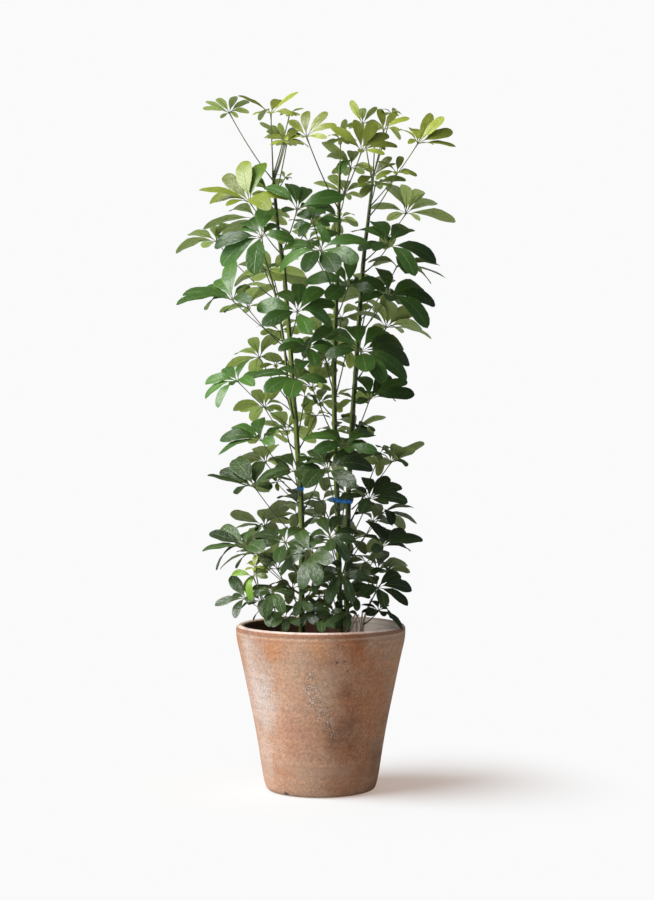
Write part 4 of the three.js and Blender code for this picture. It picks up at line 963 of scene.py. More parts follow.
def named(tree, name, data_type="FLOAT"):
    return output_of(tree, "GeometryNodeInputNamedAttribute", {"Name": name}, data_type=data_type)


def stored(tree, geometry, name, value):
    return output_of(tree, "GeometryNodeStoreNamedAttribute", {
        "Geometry": geometry, "Name": name, "Value": value,
    }, data_type="FLOAT", domain="POINT")


def displaced(tree, geometry, **how):
    return output_of(tree, "GeometryNodeSetPosition", {"Geometry": geometry, **how})


def circle(tree, sides):
    return output_of(tree, "GeometryNodeCurvePrimitiveCircle", {"Resolution": sides, "Radius": 1.0})


def is_kind(tree, number):
    return output_of(tree, "FunctionNodeCompare", {2: named(tree, "kind", "INT"), 3: number}, data_type="INT",
                     operation="EQUAL")


def with_material(tree, geometry, finish, **which):
    return output_of(tree, "GeometryNodeSetMaterial", {"Geometry": geometry, "Material": finish, **which})


def swept(tree, paths, profile, scale):
    curve = output_of(tree, "GeometryNodeMeshToCurve", {0: paths})
    side = named(tree, "side", "FLOAT_VECTOR")
    turned = output_of(tree, "GeometryNodeSetCurveNormal", {"Curve": curve, "Normal": side}, mode="FREE")
    return output_of(tree, "GeometryNodeCurveToMesh", {
        "Curve": turned, "Profile Curve": profile, "Scale": scale, "Fill Caps": True,
    })


def blade_profile(tree, thickness, fold, curl):
    """A thin closed section: folded up along the midrib and turned down again at both edges."""
    across, over_rib, _ = parts_of(output_of(tree, "GeometryNodeInputPosition"))
    below = output_of(tree, "ShaderNodeClamp", {"Value": times_plus(over_rib, -4.0, 0.5)})
    marked = stored(tree, stored(tree, circle(tree, 8), "across", across), "under", below)
    bowed = minus(times(absolute(across), fold), times(times(across, across), curl))
    height = times_plus(over_rib, thickness, bowed)
    section = output_of(tree, "ShaderNodeCombineXYZ", {"X": across, "Y": height})
    return displaced(tree, marked, Position=section)


def foliage_tree():
    """Sweeps midribs into blades, and stalks and stems into round tubes."""
    tree, given, end = new_tree("Foliage", "GeometryNodeTree", {
        "Geometry": "Geometry", "Blade thickness": 0.015, "Blade fold": 0.3, "Edge curl": 0.2,
        "Edge wave": 0.05, "Stalk sides": 6, "Stem sides": 16, "Leaf finish": "Material",
        "Stalk finish": "Material", "Stem finish": "Material",
    }, {"Geometry": "Geometry"})
    rest = given["Geometry"]
    chosen = []
    for kind in (BLADE, STALK):
        split = {"Geometry": rest, "Selection": is_kind(tree, kind)}
        found, rest = add_node(tree, "GeometryNodeSeparateGeometry", split, domain="POINT").outputs
        chosen.append(found)
    outline = add_node(tree, "ShaderNodeFloatCurve", {"Value": named(tree, "along")})
    curve = outline.mapping.curves[0]
    curve.points[0].location = BLADE_OUTLINE[0]
    curve.points[1].location = BLADE_OUTLINE[-1]
    for share, width in BLADE_OUTLINE[1:-1]:
        curve.points.new(share, width)
    outline.mapping.update()
    half = named(tree, "reach")
    profile = blade_profile(tree, given["Blade thickness"], given["Blade fold"], given["Edge curl"])
    blades = swept(tree, chosen[0], profile, times(outline.outputs[0], half))
    across = named(tree, "across")
    phase = times_plus(named(tree, "tone"), 40.0, times(across, 0.8))
    ripple = sine(times_plus(named(tree, "along"), 15.0, phase))
    height = times(times(times(times(across, across), half), given["Edge wave"]), ripple)
    blades = displaced(tree, blades, Offset=output_of(tree, "ShaderNodeCombineXYZ", {"Z": height}))
    for method, selection in (("FIXED_ALTERNATE", above(named(tree, "under"), 0.5)), ("FIXED", True)):
        blades = output_of(tree, "GeometryNodeTriangulate", {0: blades, "Selection": selection},
                           quad_method=method, ngon_method="BEAUTY")
    stalks = swept(tree, chosen[1], circle(tree, given["Stalk sides"]), half)
    stems = swept(tree, rest, circle(tree, given["Stem sides"]), half)
    joined = add_node(tree, "GeometryNodeJoinGeometry")
    for part in (stems, stalks, blades):
        feed(joined, {0: part})
    rim = above(output_of(tree, "GeometryNodeInputMeshEdgeAngle"), RIM_ANGLE)
    whole = joined.outputs[0]
    for domain, selection, smooth in (("FACE", True, True), ("EDGE", rim, False)):
        shaded = {0: whole, "Selection": selection, "Shade Smooth": smooth}
        whole = output_of(tree, "GeometryNodeSetShadeSmooth", shaded, domain=domain)
    geometry = output_of(tree, "GeometryNodeRealizeInstances", {0: whole})
    for kind, finish in ((BLADE, "Leaf finish"), (STALK, "Stalk finish"), (STEM, "Stem finish")):
        geometry = with_material(tree, geometry, given[finish], Selection=is_kind(tree, kind))
    feed(end, {0: geometry})
    return tree


def crumbs_tree():
    """Strews uneven crumbs over a surface."""
    tree, given, end = new_tree("Crumbs", "GeometryNodeTree", {
        "Geometry": "Geometry", "Density": 9000.0, "Crumb size": 0.0035, "Seed": 4, "Finish": "Material",
    }, {"Geometry": "Geometry"})
    points = output_of(tree, "GeometryNodeDistributePointsOnFaces", {
        "Mesh": given["Geometry"], "Density": given["Density"], "Seed": given["Seed"],
    })
    crumb = output_of(tree, "GeometryNodeMeshIcoSphere", {"Radius": given["Crumb size"], "Subdivisions": 1})
    spread, turn = (output_of(tree, "FunctionNodeRandomValue", {0: least, 1: most, "Seed": seed},
                              data_type="FLOAT_VECTOR")
                    for least, most, seed in (((0.25, 0.25, 0.2), (1.2, 1.0, 0.7), given["Seed"]),
                                              ((0, 0, 0), (0.6, 0.6, 6.28), 9)))
    strewn = output_of(tree, "GeometryNodeInstanceOnPoints", {
        "Points": points, "Instance": crumb, "Rotation": turn, "Scale": spread,
    })
    loose = output_of(tree, "GeometryNodeRealizeInstances", {0: strewn})
    jitter = vector_minus(add_node(tree, "ShaderNodeTexNoise", {"Scale": 420.0}).outputs[1], (0.5, 0.5, 0.5))
    offset = output_of(tree, "ShaderNodeVectorMath", {0: jitter, 3: 0.003}, operation="SCALE")
    feed(end, {0: with_material(tree, displaced(tree, loose, Offset=offset), given["Finish"])})
    return tree


def tape_tree():
    """Sweeps a flat ribbon along a wound path."""
    tree, given, end = new_tree("Tape", "GeometryNodeTree", {
        "Geometry": "Geometry", "Width": 0.006, "Thickness": 0.0005, "Finish": "Material",
    }, {"Geometry": "Geometry"})
    section = output_of(tree, "GeometryNodeCurvePrimitiveQuadrilateral", {"Width": given["Thickness"],
                                                                          "Height": given["Width"]})
    curve = output_of(tree, "GeometryNodeMeshToCurve", {0: given["Geometry"]})
    upright = output_of(tree, "GeometryNodeSetCurveNormal", {"Curve": curve}, mode="Z_UP")
    ribbon = output_of(tree, "GeometryNodeCurveToMesh", {"Curve": upright, "Profile Curve": section,
                                                         "Fill Caps": True})
    whole = output_of(tree, "GeometryNodeRealizeInstances", {0: ribbon})
    feed(end, {0: with_material(tree, whole, given["Finish"])})
    return tree


def linked(name, mesh):
    piece = bpy.data.objects.new(name, mesh)
    bpy.context.scene.collection.objects.link(piece)
    return piece


def apply_modifier(piece, modifier):
    """Gives the piece the plain mesh that its modifier makes."""
    depsgraph = bpy.context.evaluated_depsgraph_get()
    made = bpy.data.meshes.new_from_object(piece.evaluated_get(depsgraph), preserve_all_data_layers=True,
                                           depsgraph=depsgraph)
    piece.modifiers.remove(modifier)
    piece.data = made


def grown(name, mesh, tree, values):
    """The piece that a tree makes of a mesh."""
    piece = linked(name, mesh)
    modifier = piece.modifiers.new(tree.name, "NODES")
    modifier.node_group = tree
    for item in tree.interface.items_tree:
        if item.in_out == "INPUT" and item.name in values:
            modifier[item.identifier] = values[item.name]
    apply_modifier(piece, modifier)
    bpy.data.meshes.remove(mesh)
    return piece


def settle(piece, slot, *nodes):
    """The piece rides on the part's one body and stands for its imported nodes."""
    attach(piece, BODY)
    if nodes:
        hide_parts(*nodes)


# Finishes

def new_material(name):
    material = bpy.data.materials.new(name)
    material.use_nodes = True
    tree = material.node_tree
    return material, tree, tree.nodes["Principled BSDF"]


def finish_shader(shader, colour, roughness, relief, strength, depth, specular=0.5):
    """A surface's colour, roughness and relief, each a socket or plain."""
    bumps = {"Height": relief, "Strength": strength, "Distance": depth}
    feed(shader, {"Base Color": colour, "Roughness": roughness, "Specular IOR Level": specular,
                  "Normal": output_of(relief.id_data, "ShaderNodeBump", bumps)})


def attributes(tree, *names):
    nodes = [add_node(tree, "ShaderNodeAttribute", attribute_name=name, attribute_type="GEOMETRY")
             for name in names]
    return [node.outputs["Fac"] for node in nodes]


def object_place(tree):
    return add_node(tree, "ShaderNodeTexCoord").outputs["Object"]


def normal_parts(tree):
    return parts_of(add_node(tree, "ShaderNodeNewGeometry").outputs["Normal"])


def noise(place, scale, detail=3.0, roughness=0.5):
    return output_of(place.id_data, "ShaderNodeTexNoise", {"Vector": place, "Scale": scale, "Detail": detail,
                                                           "Roughness": roughness})


def streaked(place, scale, detail, roughness):
    """Noise drawn out along some directions and packed along others."""
    stretched = output_of(place.id_data, "ShaderNodeMapping", {"Vector": place, "Scale": scale})
    return noise(stretched, 1.0, detail, roughness)


LEAF_COLOURS = ("Upper face", "Underside", "Young upper face", "Young underside", "Vivid", "Vein")


def leaf_tissue_group():
    """Colour, roughness and relief of a leaf's two faces, with its midrib and side veins, and painted light
    and shade across the plant.
    """
    tree, given, end = new_tree("Leaf tissue", "ShaderNodeTree", {
        **dict.fromkeys(LEAF_COLOURS, "Color"), "Mottling": 0.5, "Pale edge": 0.28, "Side veins": 9.0,
    }, {"Colour": "Color", "Roughness": "Float", "Relief": "Float"})
    under, across, along = attributes(tree, "under", "across", "along")
    tone, youth, bright = attributes(tree, "tone", "youth", "bright")
    under = mapped(under, 0.46, 0.6)
    upper_face = mixed(mapped(youth, 0.3, 0.95), given["Upper face"], given["Young upper face"])
    under_face = mixed(youth, given["Underside"], given["Young underside"])
    face = mixed(bright, mixed(under, upper_face, under_face), given["Vivid"])
    off_rib = absolute(across)
    slant = times_plus(off_rib, -1.6, times(along, given["Side veins"]))
    side_vein = mapped(absolute(sine(times(slant, math.pi))), 0.22, 0.0)
    midrib = mapped(off_rib, 0.05, 0.01)
    # A pale margin along each blade's rim, partly the leaf's own colour and partly a painted highlight where
    # the edges catch the light.
    edge = times(mapped(off_rib, 0.86, 1.0), given["Pale edge"])
    face = stained(face, given["Vein"], larger(midrib, larger(edge, times(side_vein, 0.22))), 0.4)
    place = object_place(tree)
    cloud = noise(place, 85.0, 4.0, 0.6)
    level = times(times_plus(minus(cloud, 0.5), given["Mottling"], 1.0), mapped(tone, 0.0, 1.0, 0.62, 1.45))
    # Painted light and shade: below the crown, leaves left of the axis are made lighter and those right of it
    # darker, as if lit from the left.
    x, _, z = parts_of(place)
    darker = times(mapped(x, -0.12, 0.14, -0.4, 0.3), mapped(z, 1.05, 0.9))
    relief = minus(times_plus(side_vein, -0.3, times(cloud, 2.4)), times(midrib, 0.5))
    feed(end, {"Colour": scaled(face, times(level, minus(1.0, darker))),
               "Roughness": times_plus(cloud, 0.25, times_plus(under, 0.25, 0.22)), "Relief": relief})
    return tree


def leaf_material(name, group, leaf, upper, underside, relief):
    _, tree, shader = new_material(name)
    colours = (upper, underside, leaf.young_upper, leaf.young_underside, leaf.vivid, leaf.vein)
    inputs = {label: (*colour, 1) for label, colour in zip(LEAF_COLOURS, colours)}
    tissue = add_node(tree, "ShaderNodeGroup", inputs, node_tree=group)
    finish_shader(shader, *tissue.outputs, relief, 0.001, 0.65)


def stalk_material(stalk):
    """Petioles and midribs: green, browner towards the stem, yellow where young, pale where bare."""
    _, tree, shader = new_material("Stalk skin")
    along, youth, tone, bright = attributes(tree, "along", "youth", "tone", "bright")
    old = mixed(along, stalk.petiole_old_foot, stalk.petiole_old_hub)
    young = mixed(along, stalk.petiole_young_foot, stalk.petiole_young_hub)
    colour = mixed(bright, mixed(larger(youth, times(tone, 0.4)), old, young), stalk.pale_stalk)
    place = object_place(tree)
    feed(shader, {"Base Color": scaled(colour, mapped(noise(place, 160.0), 0.3, 0.7, 0.85, 1.12)),
                  "Roughness": mapped(noise(place, 240.0), 0.3, 0.7, 0.38, 0.55)})


def stem_material(stalk):
    """Stem skin: green with paler streaks, olive to brown on the older stems, ringed by leaf scars, with
    painted light and shade across each stem.
    """
    _, tree, shader = new_material("Stem skin")
    place = object_place(tree)
    streak = streaked(place, (260.0, 260.0, 9.0), 4.0, 0.6)
    # Painted light and shade: faces turned left are greener and those turned right dark brown, as if lit from
    # the left.
    shaded = mapped(normal_parts(tree)["X"], -0.45, 0.35, -0.4, 0.8)
    tint, scar = attributes(tree, "tint", "scar")
    brown = plus(times_plus(minus(streak, 0.5), 0.7, tint), shaded)
    colour = mixed(mapped(brown, 0.1, 0.9), stalk.green_stem_and_lit_side, stalk.brown_stem_and_shaded_side)
    colour = stained(colour, stalk.pale_stalk, mapped(tint, -0.3, -0.8), 0.9)
    colour = stained(colour, stalk.stem_scar, scar, 0.65)
    relief = plus(streak, noise(place, 700.0))
    finish_shader(shader, colour, mapped(streak, 0.2, 0.8, 0.42, 0.7), relief, 0.4, 0.0005)


def patch_group():
    """A ragged soft spot round a centre, as a mask for a stain, a bloom or a flush of colour."""
    tree, given, end = new_tree("Soft patch", "ShaderNodeTree", {
        "Centre": "Vector", "Stretch": (1.0, 1.0, 1.0), "Radius": 0.03, "Ragged": 0.6, "Grain": 60.0,
    }, {"Mask": "Float"})
    place = object_place(tree)
    away = vector_times(vector_minus(place, given["Centre"]), given["Stretch"])
    rough = minus(noise(place, given["Grain"], 5.0, 0.62), 0.5)
    share = plus(divided(length_of(away), given["Radius"]), times(rough, times(given["Ragged"], 4.0)))
    feed(end, {0: mapped(share, 1.0, 0.0)})
    return tree


def clay_front(across, up):
    """The point on the pot's front wall that is seen across and up."""
    place = Vector((across, 0, up))
    for _ in range(3):
        radius = share_by_height(max(0, place.z), [[height, radius] for radius, height in POT_OUTLINE[1:11]])
        place = seen(across, -math.sqrt(max(1, radius ** 2 - place.x ** 2)), up)
    return place * MM


def clay_spot(tree, patch, across, up, radius, ragged, stretch, grain):
    return output_of(tree, "ShaderNodeGroup", {
        "Centre": clay_front(across, up), "Stretch": (1.0, 0.6, stretch), "Radius": radius * MM,
        "Ragged": ragged, "Grain": grain,
    }, node_tree=patch)


def clay_material(pot):
    """Clouded clay with stains, crazing, scratches, pits and a worn lip, and its bare wall inside, with
    painted shade right of the middle and painted light and shade on the inner wall.
    """
    material, tree, shader = new_material("Weathered clay")
    place = object_place(tree)
    across, depth, height = parts_of(place)
    broad = noise(place, 14.0, 5.0, 0.6)
    fine = noise(place, 210.0, 6.0, 0.7)
    sand = noise(place, 520.0, 2.0, 0.6)
    flakes = noise(place, 420.0, 3.0, 0.6)
    throwing = streaked(place, (7.0, 7.0, 110.0), 4.0, 0.55)
    colour = mixed(mapped(broad, 0.38, 0.66), pot.clay, pot.clay_warm)
    patch = patch_group()
    for number, (x, up, radius, share, ragged, stretch, name) in enumerate(CLAY_PATCHES):
        grain = 34.0 + 9.0 * (number % 5) if radius > SMALLEST_PATCH else 300.0
        spot = clay_spot(tree, patch, x, up, radius, ragged, stretch, grain)
        colour = stained(colour, getattr(pot, name), spot, share)
    crazed = 0.0
    for x, up, radius in CRAZED_SPOTS:
        crazed = larger(crazed, clay_spot(tree, patch, x, up, radius, 0.5, 0.9, 90.0))
    flake = times(crazed, mapped(flakes, 0.52, 0.6))
    crack = times(crazed, mapped(flakes, 0.46, 0.38))
    roll = mapped(times_plus(fine, 0.003, height), 0.2812, 0.2832)
    ledge = mapped(absolute(minus(height, LEDGE_HEIGHT)), 0.0026, 0.0008)
    for mask, share, stain in ((flake, 0.9, pot.pale_bloom), (crack, 0.5, pot.pit), (roll, 0.8, pot.lip_band),
                               (ledge, 0.55, pot.beige_bloom)):
        colour = stained(colour, stain, mask, share)
    wavy = times_plus(broad, 0.003, height)
    for level, half, share in SCRATCHES:
        line = times(mapped(absolute(minus(wavy, level)), 2 * half, half * 0.4), mapped(fine, 0.44, 0.56))
        colour = stained(colour, pot.dark_stain, line, share)
    up = normal_parts(tree)["Z"]
    colour = stained(colour, pot.pale_lip, times(mapped(up, 0.45, 0.8), mapped(height, 0.27, 0.28)), 0.9)
    # The clay is made paler left of the middle, fading out towards the foot.
    paler_left_mask = times(mapped(across, -0.1, -0.06), mapped(across, 0.045, -0.02))
    colour = scaled(colour, times_plus(times(paler_left_mask, mapped(height, 0.03, 0.13)), pot.paler_left, 1.0))
    # Painted shade: the clay is darkened in a band right of the middle, where the wall turns from the light.
    shaded = times(mapped(across, 0.0, 0.05), mapped(across, 0.085, 0.055))
    colour = mixed(shaded, colour, pot.painted_shade_tint, "MULTIPLY")
    speckle = times(mapped(fine, 0.34, 0.66, 0.8, 1.16), mapped(sand, 0.35, 0.65, 0.87, 1.12))
    colour = scaled(colour, times(speckle, mapped(throwing, 0.3, 0.7, 0.93, 1.06)))
    radius = length_of(output_of(tree, "ShaderNodeCombineXYZ", {"X": across, "Y": depth}))
    wall = minus(radius, times_plus(height, 0.165, 0.0895))
    # Painted light and shade inside: the wall is dark at the left, in shade, and nearly white at the right, as
    # if lit from the left.
    bare = mixed(mapped(across, 0.03, 0.1), pot.painted_shade_wall, pot.painted_light_wall)
    colour = mixed(times(mapped(wall, 0.004, 0.001), mapped(up, 0.75, 0.4)), colour, bare)
    cells = output_of(tree, "ShaderNodeTexVoronoi", {"Vector": place, "Scale": 120.0})
    pit = times(mapped(cells, 0.17, 0.08), mapped(noise(place, 30.0, 2.0), 0.58, 0.66))
    colour = stained(colour, pot.pit, pit, 0.6)
    relief = minus(times_plus(sand, 0.3, fine), times(pit, 1.2))
    relief = minus(plus(relief, minus(flake, crack)), times(ledge, 0.8))
    finish_shader(shader, colour, mapped(fine, 0.3, 0.7, 0.78, 0.95), relief, 0.6, 0.0012, 0.25)
    return material


def soil_material(soil):
    material, tree, shader = new_material("Potting soil")
    clods = noise(object_place(tree), 260.0, 5.0, 0.7)
    colour = mixed(mapped(clods, 0.35, 0.7), soil.dark, soil.light)
    finish_shader(shader, colour, 0.95, clods, 0.8, 0.003, 0.2)
    return material


def tape_material(tie):
    """Plastic tape with painted light and shade: bright blue on its lit turns and navy in its creases, laid by
    noise.
    """
    material, tree, shader = new_material("Blue tape")
    fold = streaked(object_place(tree), (120.0, 120.0, 900.0), 3.0, 0.6)
    colour = mixed(mapped(fold, 0.35, 0.62), tie.navy, tie.blue)
    finish_shader(shader, colour, mapped(fold, 0.3, 0.7, 0.25, 0.45), fold, 0.6, 0.0008)
    return material


# Pot and soil

def rounded(outline, rounds):
    """The outline with its corners cut finer, its two ends kept."""
    for _ in range(rounds):
        finer = [outline[0]]
        for low, high in zip(outline, outline[1:]):
            for share in (0.25, 0.75):
                finer.append([start * (1 - share) + end * share for start, end in zip(low, high)])
        outline = [*finer, outline[-1]]
    return outline


def turned_mesh(name, outline, segments, wobble=None):
    """A closed solid of revolution from an outline that starts and ends on the axis."""
    bm = bmesh.new()
    rings = []
    for radius, height in outline:
        ring = []
        for i in range(segments if radius > 0 else 1):
            angle = 2 * math.pi * i / segments
            point = Vector((radius * math.cos(angle), radius * math.sin(angle), height)) * MM
            ring.append(bm.verts.new(wobble(point) if wobble and radius > 0 else point))
        rings.append(ring)
    for low, high in zip(rings, rings[1:]):
        for i in range(segments):
            j = (i + 1) % segments
            if len(low) > 1 and len(high) > 1:
                bm.faces.new((low[i], low[j], high[j], high[i]))
            elif len(low) > 1:
                bm.faces.new((low[i], low[j], high[0]))
            elif len(high) > 1:
                bm.faces.new((low[0], high[j], high[i]))
    for face in bm.faces:
        face.smooth = True
    return taken_from(bm, name)


def taken_from(bm, name):
    mesh = bpy.data.meshes.new(name)
    bm.to_mesh(mesh)
    bm.free()
    return mesh


# Settings

def number_setting(name, description, default, **kind):
    return FloatProperty(name=name, description=description, default=default, **kind)


def length_setting(name, description, default):
    return number_setting(name, description, default, unit="LENGTH")


def share_setting(name, description, default):
    return number_setting(name, description, default, subtype="FACTOR")


def angle_setting(name, description, default):
    return number_setting(name, description, default, subtype="ANGLE")


def colour_setting(name, description, *default):
    return FloatVectorProperty(name=name, description=description, default=default, subtype="COLOR", size=3,
                               min=0, max=1)


class LeafSettings(bpy.types.PropertyGroup):
    thickness: share_setting("Blade thickness", "Thickness at the midrib, as a share of half the width", 0.02)
    fold: share_setting("Blade fold", "How far the two halves rise from the midrib", 0.34)
    curl: share_setting("Edge curl", "How far the edges turn down again", 0.22)
    wave: share_setting("Edge wave", "How far the edges ripple", 0.06)
    upper: colour_setting("Upper face", "Grown leaf from above", 0.04, 0.1, 0.014)
    # The undersides are paler partly in their own colour and partly from painted light shining through the
    # blades.
    underside: colour_setting("Underside", "Grown leaf from below", 0.43, 0.47, 0.1)
    deep_upper: colour_setting("Deep upper face", "Leaf low on the plant from above", 0.026, 0.052, 0.011)
    deep_underside: colour_setting("Deep underside", "Leaf low on the plant from below", 0.31, 0.34, 0.11)
    young_upper: colour_setting("Young upper face", "Young leaf from above", 0.27, 0.31, 0.03)
    young_underside: colour_setting("Young underside", "Young leaf from below", 0.54, 0.59, 0.14)
    vivid: colour_setting("Vivid leaflet", "The freshest leaflets", 0.12, 0.22, 0.008)
    vein: colour_setting("Vein", "Midrib and side veins", 0.3, 0.38, 0.15)


class StalkSettings(bpy.types.PropertyGroup):
    petiole_foot: length_setting("Petiole radius at the stem", "Half its thickness there", 0.0013)
    petiole_hub: length_setting("Petiole radius at the hub", "Half its thickness there", 0.00095)
    petiole_swelling: length_setting("Swelling", "How much thicker both its ends are", 0.0009)
    petiole_old_foot: colour_setting("Old petiole foot", "Grown petiole at the stem", 0.05, 0.05, 0.022)
    petiole_old_hub: colour_setting("Old petiole hub", "Grown petiole at its hub", 0.12, 0.14, 0.05)
    petiole_young_foot: colour_setting("Young petiole foot", "Young petiole at the stem", 0.07, 0.075, 0.027)
    petiole_young_hub: colour_setting("Young petiole hub", "Young petiole at its hub", 0.19, 0.22, 0.07)
    # Painted light and shade: the green is also the stems' lit side and the brown their shaded side.
    green_stem_and_lit_side: colour_setting("Green stem", "The younger skin", 0.31, 0.39, 0.06)
    brown_stem_and_shaded_side: colour_setting("Brown stem", "The older skin", 0.036, 0.043, 0.011)
    pale_stalk: colour_setting("Pale stalk", "Bare stalks and the low shoot at the right", 0.92, 0.76, 0.64)
    stem_scar: colour_setting("Leaf scar", "Rings where leaves fell", 0.24, 0.21, 0.1)


class PotSettings(bpy.types.PropertyGroup):
    segments: IntProperty(name="Segments", description="Sides round the pot", default=144, min=36, max=360)
    clay: colour_setting("Clay", "Most of the wall", 0.56, 0.318, 0.205)
    clay_warm: colour_setting("Warm clay", "Redder clouds in the wall", 0.5, 0.245, 0.14)
    orange_flush: colour_setting("Orange flush", "Warm patches", 0.62, 0.27, 0.115)
    red_flush: colour_setting("Red flush", "Brick patches at the right", 0.47, 0.168, 0.066)
    pink_flush: colour_setting("Pink flush", "Rosy patches", 0.47, 0.235, 0.16)
    dark_stain: colour_setting("Dark stain", "Damp and old stains", 0.22, 0.115, 0.07)
    pale_bloom: colour_setting("Pale bloom", "Chalky salts", 0.67, 0.54, 0.47)
    beige_bloom: colour_setting("Beige bloom", "Thinner salts", 0.57, 0.375, 0.255)
    pit: colour_setting("Pit", "Chips and holes", 0.07, 0.045, 0.035)
    paler_left: number_setting("Bleach", "How much paler the clay is left of the middle", 0.18)
    # Painted shade: the tint that darkens the clay right of the middle.
    painted_shade_tint: colour_setting("Burnt", "How the clay darkens right of the middle", 0.93, 0.8, 0.72)
    lip_band: colour_setting("Lip band", "The outside of the rolled lip", 0.29, 0.135, 0.08)
    pale_lip: colour_setting("Worn lip", "Top of the lip", 0.78, 0.62, 0.54)
    # Painted shade and painted light: the inner wall dark at the left and nearly white at the right.
    painted_shade_wall: colour_setting("Damp inner wall", "Inside at the left", 0.13, 0.06, 0.04)
    painted_light_wall: colour_setting("Dry inner wall", "Inside at the right", 0.98, 0.85, 0.77)


class SoilSettings(bpy.types.PropertyGroup):
    crumb: length_setting("Crumb size", "Radius of the largest crumbs", 0.0036)
    density: number_setting("Crumb density", "Crumbs to the square metre", 26000.0)
    dark: colour_setting("Damp soil", "Between the crumbs", 0.018, 0.011, 0.007)
    light: colour_setting("Dry soil", "Tops of the crumbs", 0.08, 0.05, 0.03)


class TieSettings(bpy.types.PropertyGroup):
    thickness: length_setting("Tape thickness", "Thickness of one turn", 0.0006)
    # Painted light and shade: the lit and the shaded blue of one tape.
    blue: colour_setting("Blue", "Lit tape", 0.05, 0.4, 1.0)
    navy: colour_setting("Navy", "Creased tape", 0.02, 0.1, 0.46)


class StageSettings(bpy.types.PropertyGroup):
    floor: length_setting("Floor size", "Half the floor's side", 60.0)
    floor_colour: colour_setting("Floor", "Pale floor", 0.452, 0.53, 0.572)
    # Painted light, seen by the camera only.
    floor_glow: colour_setting("Floor glow", "What makes the floor as pale as the air", 0.39, 0.292, 0.24)
    fade_start: length_setting("Fade start", "How far from the pot's axis the floor starts to fade", 0.16)
    fade_end: length_setting("Fade end", "Where the floor is as pale as the backdrop", 0.58)
    backdrop: colour_setting("Backdrop", "The air behind the plant", 0.957, 0.957, 0.96)
    fill: colour_setting("Fill", "Light from all round", 0.95, 0.97, 1.0)
    fill_strength: number_setting("Fill strength", "How strong the light from all round is", 0.28)
    less_sheen: share_setting("Less sheen", "How much darker shiny faces see the light from all round", 0.7)
    key: number_setting("Key light", "Strength of the soft light at the left", 4.56)
    key_softness: angle_setting("Key softness", "How wide the soft light is", 0.85)
    key_turn: angle_setting("Key turn", "How far left of the viewer the light stands", 1.28)
    key_rise: angle_setting("Key rise", "How high the light stands", 0.75)
    lens: number_setting("Lens", "Focal length on a 36 mm sensor", 79.3, unit="CAMERA")
    shift: number_setting("Rise", "How far the picture is moved down", -0.0462)


SETTINGS = {"plant_leaf": LeafSettings, "plant_stalk": StalkSettings, "plant_pot": PotSettings,
            "plant_soil": SoilSettings, "plant_tie": TieSettings, "plant_stage": StageSettings}


# Operators

def foliage_values(scene):
    """The foliage tree's inputs, with its materials made once."""
    leaf = scene.plant_leaf
    if "Foliage" not in bpy.data.node_groups:
        group = leaf_tissue_group()
        leaf_material("Grown leaf", group, leaf, leaf.upper, leaf.underside, 0.55)
        leaf_material("Young leaf", group, leaf, leaf.upper, leaf.young_underside, 0.45)
        leaf_material("Deep leaf", group, leaf, leaf.deep_upper, leaf.deep_underside, 0.85)
        stalk_material(scene.plant_stalk)
        stem_material(scene.plant_stalk)
        foliage_tree()
    return {"Blade thickness": leaf.thickness, "Blade fold": leaf.fold, "Edge curl": leaf.curl,
            "Edge wave": leaf.wave, "Stalk finish": bpy.data.materials["Stalk skin"],
            "Stem finish": bpy.data.materials["Stem skin"]}


def make_foliage(scene, node, slot, paths, new=False):
    values = foliage_values(scene)
    values["Leaf finish"] = bpy.data.materials[LEAF_FINISHES.get(slot, "Grown leaf")]
    name = node if new else f"{node}_dressed"
    piece = grown(name, paths.mesh(node), bpy.data.node_groups["Foliage"], values)
    settle(piece, slot, *([] if new else [node]))


def node_of(row):
    number, stem = row[:2]
    return LEAFY_STEMS[stem][0] if stem in LEAFY_STEMS else f"frond_{number}"


def dress_fronds(scene, node, slot, paths):
    """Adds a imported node's fronds to its paths, in finer leaflets, and makes the piece."""
    packed = PackedPoints(node)
    for number, row in enumerate(FRONDS):
        if node_of(row) == node:
            add_frond(paths, Frond(row, number), packed, scene.plant_stalk)
    make_foliage(scene, node, slot, paths)


class PLANT_OT_pot(bpy.types.Operator):
    """Turn the clay pot, with its drain holes and its weathered wall"""
    bl_idname = "plant.pot"
    bl_label = "Pot"

    def execute(self, context):
        settings = context.scene.plant_pot
        pot = linked("clay_pot", turned_mesh("clay_pot", rounded(POT_OUTLINE, 2), settings.segments))
        drills = bmesh.new()
        for i in range(DRAIN_HOLES):
            turn = math.pi / 2 + i / DRAIN_HOLES * 2 * math.pi
            made = bmesh.ops.create_cone(drills, cap_ends=True, segments=DRILL_SIDES, radius1=DRAIN_RADIUS,
                                         radius2=DRAIN_RADIUS, depth=DRILL_LENGTH)
            centre = (DRAIN_CIRCLE * math.cos(turn), DRAIN_CIRCLE * math.sin(turn), DRILL_HEIGHT)
            bmesh.ops.translate(drills, verts=made["verts"], vec=centre)
        cutter = linked("drills", taken_from(drills, "drills"))
        cut = pot.modifiers.new("Drain holes", "BOOLEAN")
        cut.object = cutter
        cut.solver = "EXACT"
        apply_modifier(pot, cut)
        bpy.data.objects.remove(cutter)
        pot.data.materials.clear()
        pot.data.materials.append(clay_material(settings))
        settle(pot, "terracotta", "pot")
        return {"FINISHED"}


